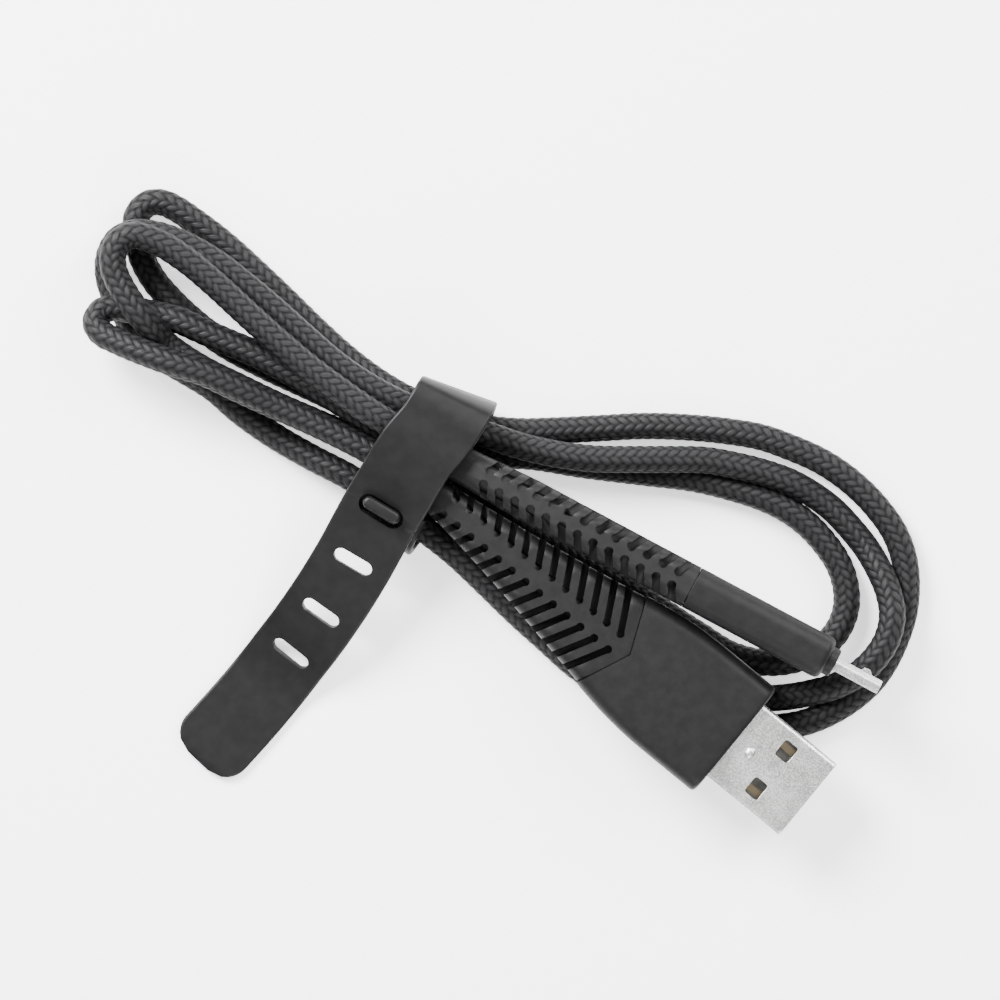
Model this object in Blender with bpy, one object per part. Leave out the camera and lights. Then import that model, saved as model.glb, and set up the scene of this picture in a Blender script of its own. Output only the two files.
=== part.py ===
"""A braided USB-A to micro-USB charging cable, bundled by its silicone tie.

Metres, +Z up. The bundle rests on z = 0, with the origin under the middle of the tie's flat underside.
Each plug is modelled along its own axis: X to the tip, Y across its width, Z through its thickness.
"""

import math

import bmesh
import bpy
from mathutils import Matrix, Vector

MM = 0.001
GAP = 0.3 * MM  # between touching pieces
FIT = 0.1 * MM  # between a metal piece and its moulding

# Cord
CORD_DIAMETER = 3.6 * MM
CORD_SIDES_LEVEL = 2
CORD_POINTS = 90
SPLINE_STEPS = 24

# USB-A plug. Distances along its axis start at the housing's front face, with the tip at +X.
USB_A_REAR = Vector((0.134, -2.798, 7.7)) * MM  # the relief's rear end, where the cord leaves it
USB_A_ANGLE = math.radians(-39.3)
SHELL_WIDTH = 12.0 * MM
SHELL_HEIGHT = 4.5 * MM
SHELL_WALL = 0.3 * MM
SHELL_REACH = 12.2 * MM
SHELL_ROOT = 6.5 * MM
SHELL_CORNER = 0.5 * MM
WINDOW_WIDTH = 2.5 * MM
WINDOW_LENGTH = 2.07 * MM
WINDOW_OFFSET = 3.1 * MM
WINDOW_POSITION = 6.05 * MM
WINDOW_CORNER = 0.45 * MM
TONGUE_THICKNESS = 1.75 * MM
TONGUE_SETBACK = 1.0 * MM
CONTACT_WIDTH = 1.0 * MM
CONTACT_THICKNESS = 0.35 * MM
CONTACT_OFFSETS = (3.5 * MM, 1.0 * MM, -1.0 * MM, -3.5 * MM)
CONTACT_SETBACKS = (1.2 * MM, 2.2 * MM, 2.2 * MM, 1.2 * MM)
CONTACT_NAMES = ("vbus", "data_minus", "data_plus", "ground")
HOUSING_LENGTH = 21.0 * MM
HOUSING_NOTCH = 3.1 * MM  # how far the relief's point reaches into the housing
NOTCH_SPREAD = 1.3  # the notch's cutter is this much wider than the housing
HOUSING_WIDTH_FRONT = 17.2 * MM
HOUSING_WIDTH_REAR = 14.4 * MM
HOUSING_HEIGHT_FRONT = 7.6 * MM
HOUSING_HEIGHT_REAR = 7.0 * MM
HOUSING_CORNER = 1.8 * MM
RELIEF_END = 51.0 * MM
RELIEF_WIDTH_FRONT = 14.0 * MM
RELIEF_WIDTH_REAR = 4.6 * MM
RELIEF_HEIGHT_FRONT = 6.6 * MM
RELIEF_HEIGHT_REAR = 4.6 * MM
RELIEF_SLOTS = 13
RELIEF_PITCH = 2.3 * MM
RELIEF_FIRST_SLOT = 20.3 * MM
SLOT_WIDTH = 1.0 * MM
SLOT_DEPTH = 0.9 * MM
SLOT_INNER = 1.07 * MM
SLOT_LEAN = math.radians(28)
WIRE_DIAMETER = 0.9 * MM
FERRULE_LENGTH = 3.0 * MM
FERRULE_WALL = 0.3 * MM

# Micro plug, lying on its narrow edge, with its own zero where its ribs come out from under the tie
MICRO_ZERO = Vector((8.0, -1.35, 9.2)) * MM
MICRO_ANGLE = math.radians(-28.1)
MICRO_TILT = math.radians(1.8)
MICRO_RELIEF_START = -6.5 * MM
MICRO_RELIEF_END = 29.4 * MM
MICRO_HOUSING_END = 49.3 * MM
MICRO_NECK = 1.1 * MM
MICRO_THICKNESS = 5.7 * MM
MICRO_WIDTH = 10.5 * MM
MICRO_WIDTH_REAR = 4.6 * MM
MICRO_THICKNESS_REAR = 4.6 * MM
MICRO_CORNER = 1.5 * MM
MICRO_SLOTS = 13
MICRO_FIRST_SLOT = 27.0 * MM
MICRO_SLOT_INNER = 0.62 * MM
MICRO_SHELL_WIDTH = 6.85 * MM
MICRO_SHELL_HEIGHT = 1.8 * MM
MICRO_SHELL_WALL = 0.25 * MM
MICRO_SHELL_REACH = 6.5 * MM
MICRO_SHELL_ROOT = 5.0 * MM
MICRO_SHELL_BEVEL = 0.55 * MM
MICRO_TONGUE_THICKNESS = 0.6 * MM
MICRO_CONTACT_WIDTH = 0.37 * MM
MICRO_CONTACT_PITCH = 0.65 * MM
MICRO_CONTACT_THICKNESS = 0.2 * MM
MICRO_CONTACT_NAMES = ("vbus", "data_minus", "data_plus", "id", "ground")
LATCH_OFFSET = 2.1 * MM
LATCH_WIDTH = 0.75 * MM
LATCH_LENGTH = 1.2 * MM
LATCH_RISE = 0.55 * MM
LATCH_ARM = 4.5 * MM

# Silicone tie
TIE_WIDTH = 10.5 * MM
TIE_THICKNESS = 1.0 * MM
TIE_SLOT_LENGTH = 5.5 * MM
TIE_SLOT_WIDTH = 1.9 * MM
BUTTON_LENGTH = 5.4 * MM
BUTTON_WIDTH = 1.6 * MM
BUTTON_RISE = 2.4 * MM
BUTTON_CLEARANCE = 0.5 * MM

# The cord's route, in millimetres: chosen by hand, from the USB-A relief to the micro relief.
# Each left turn and each right turn of the bundle has its own list, and the tie holds the places between.
FIRST_LEFT_TURN = (
    (-0.13, -2.6, 7.7), (-3.9, 0.1, 7.2), (-7.9, 2.5, 6.6), (-14, 5.6, 6.2), (-20, 8.3, 6.6),
    (-25, 10.6, 8.1), (-29.5, 12.7, 9.0), (-34, 14.1, 9.3), (-38, 15.6, 8.7), (-41.0, 16.9, 7.6),
    (-42.7, 17.8, 6.9), (-43.6, 19.3, 6.1), (-43.0, 20.6, 5.6), (-41.2, 21.2, 5.4), (-39, 20.9, 5.35),
    (-36, 20.4, 5.1),
    (-33, 19.6, 5.4), (-29.8, 18.2, 5.5), (-26.8, 16.9, 5.5), (-22.8, 15.2, 5.6), (-18, 12.7, 5.7),
    (-12, 9.0, 5.9), (-6.1, 5.3, 6.2),
)
INNER_RIGHT_TURN = (
    (-1.0, 1.8, 5.3), (3.0, -1.3, 3.3), (8, -5, 2.6), (14, -9, 1.8), (21, -13, 1.8), (28, -17, 1.8),
    (35, -21.5, 1.8), (39.5, -24.2, 1.8), (43.5, -25.2, 1.8), (47.5, -24.9, 1.8), (51, -23.4, 1.8),
    (53.3, -21.1, 1.8), (54.5, -18, 1.8), (54.4, -15, 1.8), (53.5, -12.3, 1.8), (51.8, -9.7, 1.8),
    (49.5, -7.2, 1.8), (46.8, -5.2, 1.8), (43.5, -3.6, 1.8), (39.5, -2.3, 1.8), (35, -1.2, 1.8),
    (28, -0.3, 1.8), (20, 0.7, 1.8), (13, 1.8, 2.3), (9, 2.0, 2.9), (5.6, 2.2, 3.0),
)
SECOND_LEFT_TURN = (
    (0, 4.6, 3.0), (-5.5, 6.2, 3.1), (-10, 8.2, 2.5), (-16, 11.0, 1.8), (-22, 13.8, 1.8),
    (-27, 16.5, 1.8), (-31, 19.5, 1.8), (-34, 22.3, 1.8), (-36.3, 25.0, 1.8), (-37.9, 28, 1.8),
    (-38.75, 31.5, 1.8), (-38.4, 33.6, 1.8), (-37.0, 35.0, 1.8), (-35.2, 35.1, 1.8), (-33.2, 34.2, 1.8),
    (-31, 32.7, 1.8), (-27.2, 29.8, 1.8), (-23.2, 26.2, 1.8), (-19.2, 22.4, 1.8), (-15, 18.3, 1.8),
    (-11, 14.7, 2.0), (-7, 11.7, 2.5), (-3.3, 9.5, 2.9),
)
OUTER_RIGHT_TURN = (
    (2.2, 7.2, 3.0), (7.4, 5.5, 3.1), (12, 5.1, 2.8), (16, 5.2, 2.2), (22, 5.5, 1.8), (28, 5.8, 1.8),
    (34, 5.6, 1.8), (39, 5.1, 1.8), (43.5, 4.3, 1.8), (47.3, 2.95, 1.8), (51.1, 1.25, 1.8),
    (54.9, -1.3, 1.8), (58.6, -4.95, 1.8), (60.9, -8.3, 1.8), (62.05, -11.4, 1.8), (62.45, -15, 1.8),
    (62.1, -18.8, 1.8), (61.1, -22, 1.8), (59.7, -25, 1.8), (57.9, -27.6, 1.8), (55.5, -29.8, 1.8),
    (52.5, -31.7, 1.8), (49, -33.1, 1.8), (45.5, -33.7, 1.8), (41.5, -33.8, 1.8), (36, -33.1, 1.8),
    (30, -31.4, 1.8), (24, -28.8, 1.8), (19, -25.6, 1.8), (15.3, -22.3, 1.8), (11.3, -18.7, 1.8),
    (7.3, -14.8, 2.2), (3.3, -11.0, 2.9), (-1.3, -7.4, 3.0),
)
THIRD_LEFT_TURN = (
    (-6, -3.9, 3.0), (-10.1, -1.2, 3.1), (-16, 1.9, 2.3), (-20, 4.2, 1.8), (-25, 7.7, 1.8),
    (-28.6, 10.8, 1.8), (-32, 12.9, 1.8), (-35, 14.7, 1.8), (-37.5, 17, 1.8), (-39.5, 19.5, 1.8),
    (-41, 22, 1.8), (-42, 24.3, 1.9), (-42.3, 26.5, 2.5), (-41.8, 28.6, 3.9), (-40.5, 30.3, 5.1),
    (-38.5, 31.0, 5.5), (-36, 30.8, 5.5), (-32, 29.4, 5.5), (-28, 27.1, 5.5), (-24, 24.0, 5.6),
    (-20, 20.6, 5.7), (-16, 17, 5.9), (-12, 13.6, 6.1), (-8, 10.9, 6.3), (-3.9, 8.7, 6.4),
)
MIDDLE_RIGHT_TURN = (
    (1.5, 6.5, 6.4), (6.9, 4.8, 6.3), (12, 3.1, 5.6), (16, 2.2, 5.4), (20, 1.6, 5.35), (28, 1.4, 5.1),
    (32, 1.4, 4.7), (36, 1.3, 4.2), (40, 0.6, 3.8), (44, -0.4, 3.3), (47.3, -1.6, 2.9),
    (50, -3.1, 2.2), (52.7, -5.1, 1.8), (55, -7.5, 1.8), (57, -10, 1.9), (58.7, -13, 3.1),
    (59.9, -16, 4.1), (60.3, -19.3, 5.1), (59.6, -22.1, 5.3), (58, -24.6, 5.3), (56, -26.5, 5.0),
    (53, -28.2, 4.1), (50, -29.1, 2.9), (46, -29.8, 1.9), (42.5, -29.9, 1.8), (38, -29.5, 1.8),
    (32, -27.7, 1.8), (26.5, -25.1, 1.8), (21.5, -21.9, 1.8), (17, -18.2, 1.8), (12.8, -14.5, 1.8),
    (8.6, -10.8, 2.3), (4.4, -7.3, 3.0), (0.7, -4.3, 3.0),
)
FOURTH_LEFT_TURN = (
    (-3.6, -0.6, 3.0), (-7.6, 3.0, 3.0), (-14, 5.9, 2.5), (-20, 8.5, 3.0), (-25, 10.9, 4.4),
    (-30, 13.4, 5.3), (-33.4, 15.6, 5.3), (-34.9, 16.8, 6.1), (-36.2, 18.3, 7.8), (-37.6, 20.1, 8.9),
    (-39.1, 22.2, 9.1), (-40.3, 24.2, 9.0), (-41.1, 26.3, 9.0), (-41.1, 28.2, 9.0), (-40.2, 29.8, 9.0),
    (-38.6, 30.5, 9.0), (-36.5, 30.05, 9.0), (-32, 27.5, 9.0), (-28, 24.2, 9.0), (-24, 20.5, 9.1),
    (-20, 16.9, 9.2), (-16, 13.5, 9.4), (-12, 10.5, 9.6), (-8, 7.7, 9.9), (-5.4, 6.1, 9.9),
    (-1.5, 3.9, 9.4), (2.0, 1.87, 9.0),
)

# The tie's middle line: x, y and z in millimetres, then the direction of its width in degrees.
TIE_WRAP_LINE = (
    (-4.9, -3.9, 7.4, -34), (-6.2, -6.2, 7.3, -34), (-6.76, -7.4, 6.2, -34), (-6.84, -7.8, 4.3, -34),
    (-6.5, -7.55, 2.0, -34), (-5.7, -6.5, 0.62, -34), (-4.6, -5.1, 0.5, -33), (-3.0, -2.8, 0.5, -32),
    (-1.2, -0.5, 0.5, -30), (0.4, 2.3, 0.5, -28), (1.8, 5.2, 0.5, -25), (2.9, 7.8, 0.5, -22),
    (3.5, 9.5, 1.4, -20), (3.7, 10.0, 3.6, -20), (3.7, 10.0, 6.5, -20), (3.7, 10.0, 9.6, -20),
    (3.5, 9.6, 11.4, -21), (3.15, 8.95, 12.45, -22), (2.62, 7.98, 12.85, -23),
)
TIE_FLAP_LINE = (
    (2.38, 7.52, 12.9, -23), (1.0, 5.4, 13.0, -27), (-1.6, 2.3, 12.9, -31), (-3.6, -0.9, 11.9, -33),
    (-5.2, -3.5, 10.4, -34), (-6.6, -5.8, 9.3, -35), (-8.0, -8.3, 8.6, -35),
)
TIE_TAIL_LINE = (
    (-8.2, -8.6, 8.4, -35), (-9.7, -11.4, 7.7, -35), (-12.0, -15.2, 6.6, -36), (-14.2, -18.5, 5.3, -37),
    (-16.3, -21.4, 3.8, -38), (-18.5, -24.2, 1.9, -39), (-21.0, -27.4, 0.62, -40),
    (-24.0, -31.0, 0.5, -40), (-27.4, -34.8, 0.5, -42), (-30.6, -38.2, 0.6, -44),
)
TIE_SLOT_FRACTIONS = (0.105, 0.315, 0.515)
BUTTON_PLACE = (-6.35, -5.35)


def clear_scene():
    for thing in list(bpy.data.objects):
        bpy.data.objects.remove(thing, do_unlink=True)


def collection(name, hidden=False):
    made = bpy.data.collections.new(name)
    bpy.context.scene.collection.children.link(made)
    made.hide_render = hidden
    return made


def material(name, colour, roughness, metallic=0.0):
    made = bpy.data.materials.new(name)
    made.use_nodes = True
    shader = made.node_tree.nodes["Principled BSDF"]
    shader.inputs["Base Color"].default_value = (*colour, 1)
    shader.inputs["Roughness"].default_value = roughness
    shader.inputs["Metallic"].default_value = metallic
    return made


clear_scene()
CABLE = collection("charging_cable")
CUTTERS = collection("cutters", hidden=True)
RUBBER = material("black_tpe", (0.02, 0.02, 0.022), 0.55)
SILICONE = material("black_silicone", (0.035, 0.035, 0.037), 0.6)
BRAID = material("black_braid", (0.025, 0.025, 0.027), 0.8)
NICKEL = material("nickel", (0.8, 0.79, 0.77), 0.25, 1.0)
GOLD = material("gold_contact", (0.75, 0.5, 0.2), 0.3, 1.0)
PLASTIC = material("white_plastic", (0.8, 0.79, 0.75), 0.5)
WIRE_COLOURS = {
    "red": material("red_wire", (0.5, 0.02, 0.02), 0.5),
    "white": material("white_wire", (0.8, 0.8, 0.78), 0.5),
    "green": material("green_wire", (0.03, 0.3, 0.06), 0.5),
    "black": material("black_wire", (0.02, 0.02, 0.02), 0.5),
}


def mesh_object(name, bm, finish, parent=None, place=(0, 0, 0), smooth=False):
    """A new object in the cable's collection that holds the bmesh, at a place in its parent's frame."""
    bmesh.ops.recalc_face_normals(bm, faces=bm.faces)
    mesh = bpy.data.meshes.new(name)
    bm.to_mesh(mesh)
    bm.free()
    made = bpy.data.objects.new(name, mesh)
    made.data.materials.append(finish)
    made.parent = parent
    made.location = place
    for face in mesh.polygons:
        face.use_smooth = smooth
    CABLE.objects.link(made)
    return made


def empty(name, place, rotation, parent=None):
    made = bpy.data.objects.new(name, None)
    made.empty_display_size = 0.005
    made.location = place
    made.rotation_mode = "QUATERNION"
    made.rotation_quaternion = rotation
    made.parent = parent
    CABLE.objects.link(made)
    return made


def add_box(bm, low, high):
    """Adds a box between two corners and returns its vertices."""
    low, high = Vector(low), Vector(high)
    made = bmesh.ops.create_cube(bm, size=1.0)["verts"]
    size = high - low
    bmesh.ops.scale(bm, vec=size, verts=made)
    bmesh.ops.translate(bm, vec=(low + high) / 2, verts=made)
    return made


def round_x_edges(bm, radius, segments=3):
    """Rounds the edges that run along X."""
    along = [e for e in bm.edges if abs((e.verts[0].co - e.verts[1].co).normalized().x) > 0.99]
    bmesh.ops.bevel(bm, geom=along, offset=radius, segments=segments, profile=0.5, affect="EDGES")


def cutter(name, bm, parent=None, place=(0, 0, 0)):
    bmesh.ops.recalc_face_normals(bm, faces=bm.faces)
    mesh = bpy.data.meshes.new(name)
    bm.to_mesh(mesh)
    bm.free()
    made = bpy.data.objects.new(name, mesh)
    made.parent = parent
    made.location = place
    made.hide_render = True
    made.display_type = "WIRE"
    CUTTERS.objects.link(made)
    return made


def cut(target, tool):
    modifier = target.modifiers.new(tool.name, "BOOLEAN")
    modifier.operation = "DIFFERENCE"
    modifier.solver = "EXACT"
    modifier.object = tool


def rounded_section(x, half_width, half_height, radius, corner_steps=4):
    """Points of a rounded rectangle across X, going round once."""
    points = []
    for quarter, (side_y, side_z) in enumerate(((1, 1), (-1, 1), (-1, -1), (1, -1))):
        centre = Vector((x, side_y * (half_width - radius), side_z * (half_height - radius)))
        for step in range(corner_steps + 1):
            turn = math.radians(90) * (quarter + step / corner_steps)
            points.append(centre + radius * Vector((0, math.cos(turn), math.sin(turn))))
    return points


def loft(bm, sections):
    """Joins rings of equal count into a closed body with flat ends."""
    rings = [[bm.verts.new(point) for point in section] for section in sections]
    count = len(rings[0])
    for near, far in zip(rings, rings[1:]):
        for i in range(count):
            j = (i + 1) % count
            bm.faces.new((near[i], near[j], far[j], far[i]))
    bm.faces.new(rings[0])
    bm.faces.new(reversed(rings[-1]))


def smooth_line(points, steps=SPLINE_STEPS):
    """A dense smooth curve through the points, by Catmull-Rom with chord-length spacing."""
    points = [Vector(p) for p in points]
    ends = [2 * points[0] - points[1]] + points + [2 * points[-1] - points[-2]]
    line = []
    for p0, p1, p2, p3 in zip(ends, ends[1:], ends[2:], ends[3:]):
        d1, d2, d3 = (p1 - p0).length, (p2 - p1).length, (p3 - p2).length
        m1 = d2 * ((p1 - p0) / d1 - (p2 - p0) / (d1 + d2) + (p2 - p1) / d2)
        m2 = d2 * ((p2 - p1) / d2 - (p3 - p1) / (d2 + d3) + (p3 - p2) / d3)
        for step in range(steps):
            t = step / steps
            line.append(
                (2 * t**3 - 3 * t**2 + 1) * p1
                + (t**3 - 2 * t**2 + t) * m1
                + (3 * t**2 - 2 * t**3) * p2
                + (t**3 - t**2) * m2
            )
    line.append(points[-1])
    return line


def thin_out(line, count):
    """Keeps count points of the line, closer together where it bends."""
    turn_length = 7 * MM  # one radian of bend counts as this much length
    weights = [0.0]
    for i in range(1, len(line)):
        step = (line[i] - line[i - 1]).length
        bend = 0.0
        if 1 < i:
            bend = (line[i] - line[i - 1]).angle(line[i - 1] - line[i - 2], 0.0)
        weights.append(weights[-1] + step + turn_length * bend)
    kept = []
    for k in range(count):
        wanted = weights[-1] * k / (count - 1)
        kept.append(line[min(range(len(line)), key=lambda i: abs(weights[i] - wanted))])
    return kept


def tube(name, line, diameter, finish, parent=None, level=CORD_SIDES_LEVEL):
    curve = bpy.data.curves.new(name, "CURVE")
    curve.dimensions = "3D"
    curve.bevel_depth = diameter / 2
    curve.bevel_resolution = level
    curve.use_fill_caps = True
    spline = curve.splines.new("POLY")
    spline.points.add(len(line) - 1)
    for point, place in zip(spline.points, line):
        point.co = (*place, 1)
    spline.use_smooth = True
    made = bpy.data.objects.new(name, curve)
    made.data.materials.append(finish)
    made.parent = parent
    CABLE.objects.link(made)
    return made


# Cord


def make_cord():
    route = []
    for stretch in (
        FIRST_LEFT_TURN, INNER_RIGHT_TURN, SECOND_LEFT_TURN, OUTER_RIGHT_TURN,
        THIRD_LEFT_TURN, MIDDLE_RIGHT_TURN, FOURTH_LEFT_TURN,
    ):
        route += [Vector(point) * MM for point in stretch]
    line = smooth_line(route)
    for place in line:
        place.z = max(place.z, CORD_DIAMETER / 2)
    tube("cord", thin_out(line, CORD_POINTS), CORD_DIAMETER, BRAID)


# USB-A plug


def usb_a_half_size(x):
    """Half the width and height of the housing and relief at a distance along the axis, and the corner."""
    if x > -HOUSING_LENGTH:
        share = min(1.0, (x + HOUSING_LENGTH) / (HOUSING_LENGTH - 8.5 * MM))
        share = 1 - (1 - share) ** 2
        width = HOUSING_WIDTH_REAR + (HOUSING_WIDTH_FRONT - HOUSING_WIDTH_REAR) * share
        height = HOUSING_HEIGHT_REAR + (HOUSING_HEIGHT_FRONT - HOUSING_HEIGHT_REAR) * share
        return width / 2, height / 2, HOUSING_CORNER
    share = max(0.0, (x + RELIEF_END) / (RELIEF_END - HOUSING_LENGTH))
    width = RELIEF_WIDTH_REAR + (RELIEF_WIDTH_FRONT - RELIEF_WIDTH_REAR) * share**1.25
    height = RELIEF_HEIGHT_REAR + (RELIEF_HEIGHT_FRONT - RELIEF_HEIGHT_REAR) * share
    return width / 2, height / 2, HOUSING_CORNER


def v_prism(name, tip, depth, reach, height, parent, behind):
    """A cutter whose front edge is a V: its point at tip on the axis, falling back by depth at the sides."""
    bm = bmesh.new()
    far = tip - reach if behind else tip + reach
    half = NOTCH_SPREAD * HOUSING_WIDTH_FRONT / 2
    outline = [(tip, 0), (tip - depth, half), (far, half), (far, -half), (tip - depth, -half)]
    base = bm.faces.new([bm.verts.new((x, y, -height)) for x, y in outline])
    top = bmesh.ops.extrude_face_region(bm, geom=[base])["geom"]
    moved = [v for v in top if isinstance(v, bmesh.types.BMVert)]
    bmesh.ops.translate(bm, vec=(0, 0, 2 * height), verts=moved)
    return cutter(name, bm, parent)


def make_usb_a_body(axis):
    v_depth = HOUSING_NOTCH * NOTCH_SPREAD * HOUSING_WIDTH_FRONT / HOUSING_WIDTH_REAR
    clear_length = HOUSING_LENGTH + 9 * MM
    clear_height = HOUSING_HEIGHT_FRONT + 2.4 * MM
    v_tip = -HOUSING_LENGTH + HOUSING_NOTCH
    bm = bmesh.new()
    stations = [0.0, -0.4 * MM, -4 * MM, -8.5 * MM, -12 * MM, -15 * MM, -18 * MM, -HOUSING_LENGTH + 1e-6]
    sections = []
    for x in stations:
        half_width, half_height, corner = usb_a_half_size(x)
        inset = 0.4 * MM if x == 0.0 else 0.0
        sections.append(rounded_section(x, half_width - inset, half_height - inset, corner))
    loft(bm, sections)
    housing = mesh_object("usb_a_housing", bm, RUBBER, axis)
    notch = v_prism("usb_a_housing_notch", v_tip + GAP, v_depth, clear_length, clear_height, axis, True)
    cut(housing, notch)

    bm = bmesh.new()
    low = (-HOUSING_LENGTH - 1 * MM, -SHELL_WIDTH / 2 - FIT, -SHELL_HEIGHT / 2 - FIT)
    add_box(bm, low, (1 * MM, SHELL_WIDTH / 2 + FIT, SHELL_HEIGHT / 2 + FIT))
    cut(housing, cutter("usb_a_housing_bore", bm, axis))

    bm = bmesh.new()
    sections = []
    front = -HOUSING_LENGTH - 1e-6
    stations = [-RELIEF_END + (RELIEF_END + front) * step / 6 for step in range(7)]
    for x in (*stations, v_tip + 1e-6):
        half_width, half_height, corner = usb_a_half_size(min(x, front))
        sections.append(rounded_section(x, half_width, half_height, min(corner, half_height * 0.8)))
    loft(bm, sections)
    relief = mesh_object("usb_a_relief", bm, RUBBER, axis)
    cut(relief, v_prism("usb_a_relief_point", v_tip, v_depth, clear_length, clear_height, axis, False))
    cut(relief, bore_cutter("usb_a_relief_bore", -RELIEF_END - 1 * MM, v_tip + 1 * MM, axis))
    slots = slot_cutters("usb_a_relief_slots", usb_a_half_size, axis, -RELIEF_FIRST_SLOT, RELIEF_SLOTS,
                         SLOT_INNER, "Z", SLOT_LEAN)
    cut(relief, slots)


def bore_cutter(name, start, end, axis):
    bm = bmesh.new()
    length = end - start
    turn = Matrix.Translation(((start + end) / 2, 0, 0)) @ Matrix.Rotation(math.radians(90), 4, "Y")
    radius = CORD_DIAMETER / 2 + FIT
    bmesh.ops.create_cone(bm, cap_ends=True, segments=16, radius1=radius, radius2=radius, depth=length,
                          matrix=turn)
    return cutter(name, bm, axis)


def slot_cutters(name, half_size, axis, first, count, inner, through, lean):
    """Pairs of slots on both faces. A positive lean takes their open ends back. through is the facing axis."""
    bm = bmesh.new()
    for number in range(count):
        x = first - number * RELIEF_PITCH
        half_width, half_height, _ = half_size(x - 1 * MM)
        if through == "Y":
            half_width, half_height = half_height, half_width
        for side in (-1, 1):
            for face in (-1, 1):
                reach = (half_width + 1.5 * MM - inner) / math.cos(lean)
                depth_low = half_height - SLOT_DEPTH
                outside = half_height + 2 * MM
                made = add_box(bm, (-SLOT_WIDTH / 2, 0, depth_low), (SLOT_WIDTH / 2, reach, outside))
                turn = Matrix.Rotation(side * lean, 4, "Z")
                if side < 0:
                    bmesh.ops.scale(bm, vec=(1, -1, 1), verts=made)
                if face < 0:
                    bmesh.ops.scale(bm, vec=(1, 1, -1), verts=made)
                bmesh.ops.transform(bm, matrix=Matrix.Translation((x, side * inner, 0)) @ turn, verts=made)
                if through == "Y":
                    swap = Matrix(((1, 0, 0, 0), (0, 0, 1, 0), (0, -1, 0, 0), (0, 0, 0, 1)))
                    bmesh.ops.transform(bm, matrix=swap, verts=made)
    return cutter(name, bm, axis)


def make_usb_a_shell(axis):
    bm = bmesh.new()
    low = Vector((-SHELL_ROOT, -SHELL_WIDTH / 2, -SHELL_HEIGHT / 2))
    high = Vector((SHELL_REACH, SHELL_WIDTH / 2, SHELL_HEIGHT / 2))
    add_box(bm, low, high)
    round_x_edges(bm, SHELL_CORNER)
    shell = mesh_object("usb_a_shell", bm, NICKEL, axis)
    bm = bmesh.new()
    wall = Vector((0, SHELL_WALL, SHELL_WALL))
    add_box(bm, low + wall - Vector((1 * MM, 0, 0)), high - wall + Vector((1 * MM, 0, 0)))
    round_x_edges(bm, SHELL_CORNER - SHELL_WALL, 2)
    cut(shell, cutter("usb_a_shell_inside", bm, axis))
    bm = bmesh.new()
    for side in (-1, 1):
        centre = Vector((WINDOW_POSITION, side * WINDOW_OFFSET, 0))
        half = Vector((WINDOW_LENGTH / 2, WINDOW_WIDTH / 2, SHELL_HEIGHT))
        add_box(bm, centre - half, centre + half)
    upright = [e for e in bm.edges if abs((e.verts[0].co - e.verts[1].co).normalized().z) > 0.99]
    bmesh.ops.bevel(bm, geom=upright, offset=WINDOW_CORNER, segments=3, profile=0.5, affect="EDGES")
    cut(shell, cutter("usb_a_shell_windows", bm, axis))


def make_usb_a_inside(axis, cord_end):
    tongue_low = -SHELL_HEIGHT / 2 + SHELL_WALL + FIT
    tongue_top = tongue_low + TONGUE_THICKNESS
    half_width = SHELL_WIDTH / 2 - SHELL_WALL - FIT
    bm = bmesh.new()
    tongue_end = SHELL_REACH - TONGUE_SETBACK
    add_box(bm, (-SHELL_ROOT, -half_width, tongue_low), (tongue_end, half_width, tongue_top))
    tongue = mesh_object("usb_a_tongue", bm, PLASTIC, axis)
    bm = bmesh.new()
    tail = -SHELL_ROOT - 2 * MM
    groove_floor = tongue_top - CONTACT_THICKNESS - FIT / 2
    for y, setback in zip(CONTACT_OFFSETS, CONTACT_SETBACKS):
        half = CONTACT_WIDTH / 2 + FIT / 2
        end = SHELL_REACH - TONGUE_SETBACK - setback + FIT / 2
        add_box(bm, (tail, y - half, groove_floor), (end, y + half, tongue_top + 1 * MM))
    cut(tongue, cutter("usb_a_tongue_grooves", bm, axis))
    wire_z = tongue_top + WIRE_DIAMETER / 2 + FIT
    colours = ("red", "white", "green", "black")
    for name, colour, y, setback in zip(CONTACT_NAMES, colours, CONTACT_OFFSETS, CONTACT_SETBACKS):
        bm = bmesh.new()
        end = SHELL_REACH - TONGUE_SETBACK - setback
        low = (tail, y - CONTACT_WIDTH / 2, tongue_top - CONTACT_THICKNESS)
        add_box(bm, low, (end, y + CONTACT_WIDTH / 2, tongue_top))
        mesh_object("usb_a_contact_" + name, bm, GOLD, axis)
        near = 0.75 * MM if abs(y) < 2 * MM else 0.8 * MM
        level = -0.65 * MM if abs(y) < 2 * MM else 0.65 * MM
        line = [Vector((tail + 1.5 * MM, y, wire_z)), Vector((tail, y, wire_z)),
                Vector((tail - 2 * MM, y * 0.85, wire_z * 0.5)),
                Vector((cord_end + GAP, math.copysign(near, y), level))]
        tube("usb_a_wire_" + colour, smooth_line(line, 3), WIRE_DIAMETER, WIRE_COLOURS[colour], axis)


def make_ferrule(name, axis, centre, finish):
    """The crimped ring that holds the cord's shield at the plug."""
    radius = CORD_DIAMETER / 2 + FIT + FERRULE_WALL
    turn = Matrix.Translation((centre, 0, 0)) @ Matrix.Rotation(math.radians(90), 4, "Y")
    bm = bmesh.new()
    bmesh.ops.create_cone(bm, cap_ends=True, segments=24, radius1=radius, radius2=radius,
                          depth=FERRULE_LENGTH, matrix=turn)
    ring = mesh_object(name, bm, finish, axis)
    cut(ring, bore_cutter(name + "_bore", centre - FERRULE_LENGTH, centre + FERRULE_LENGTH, axis))


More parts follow.
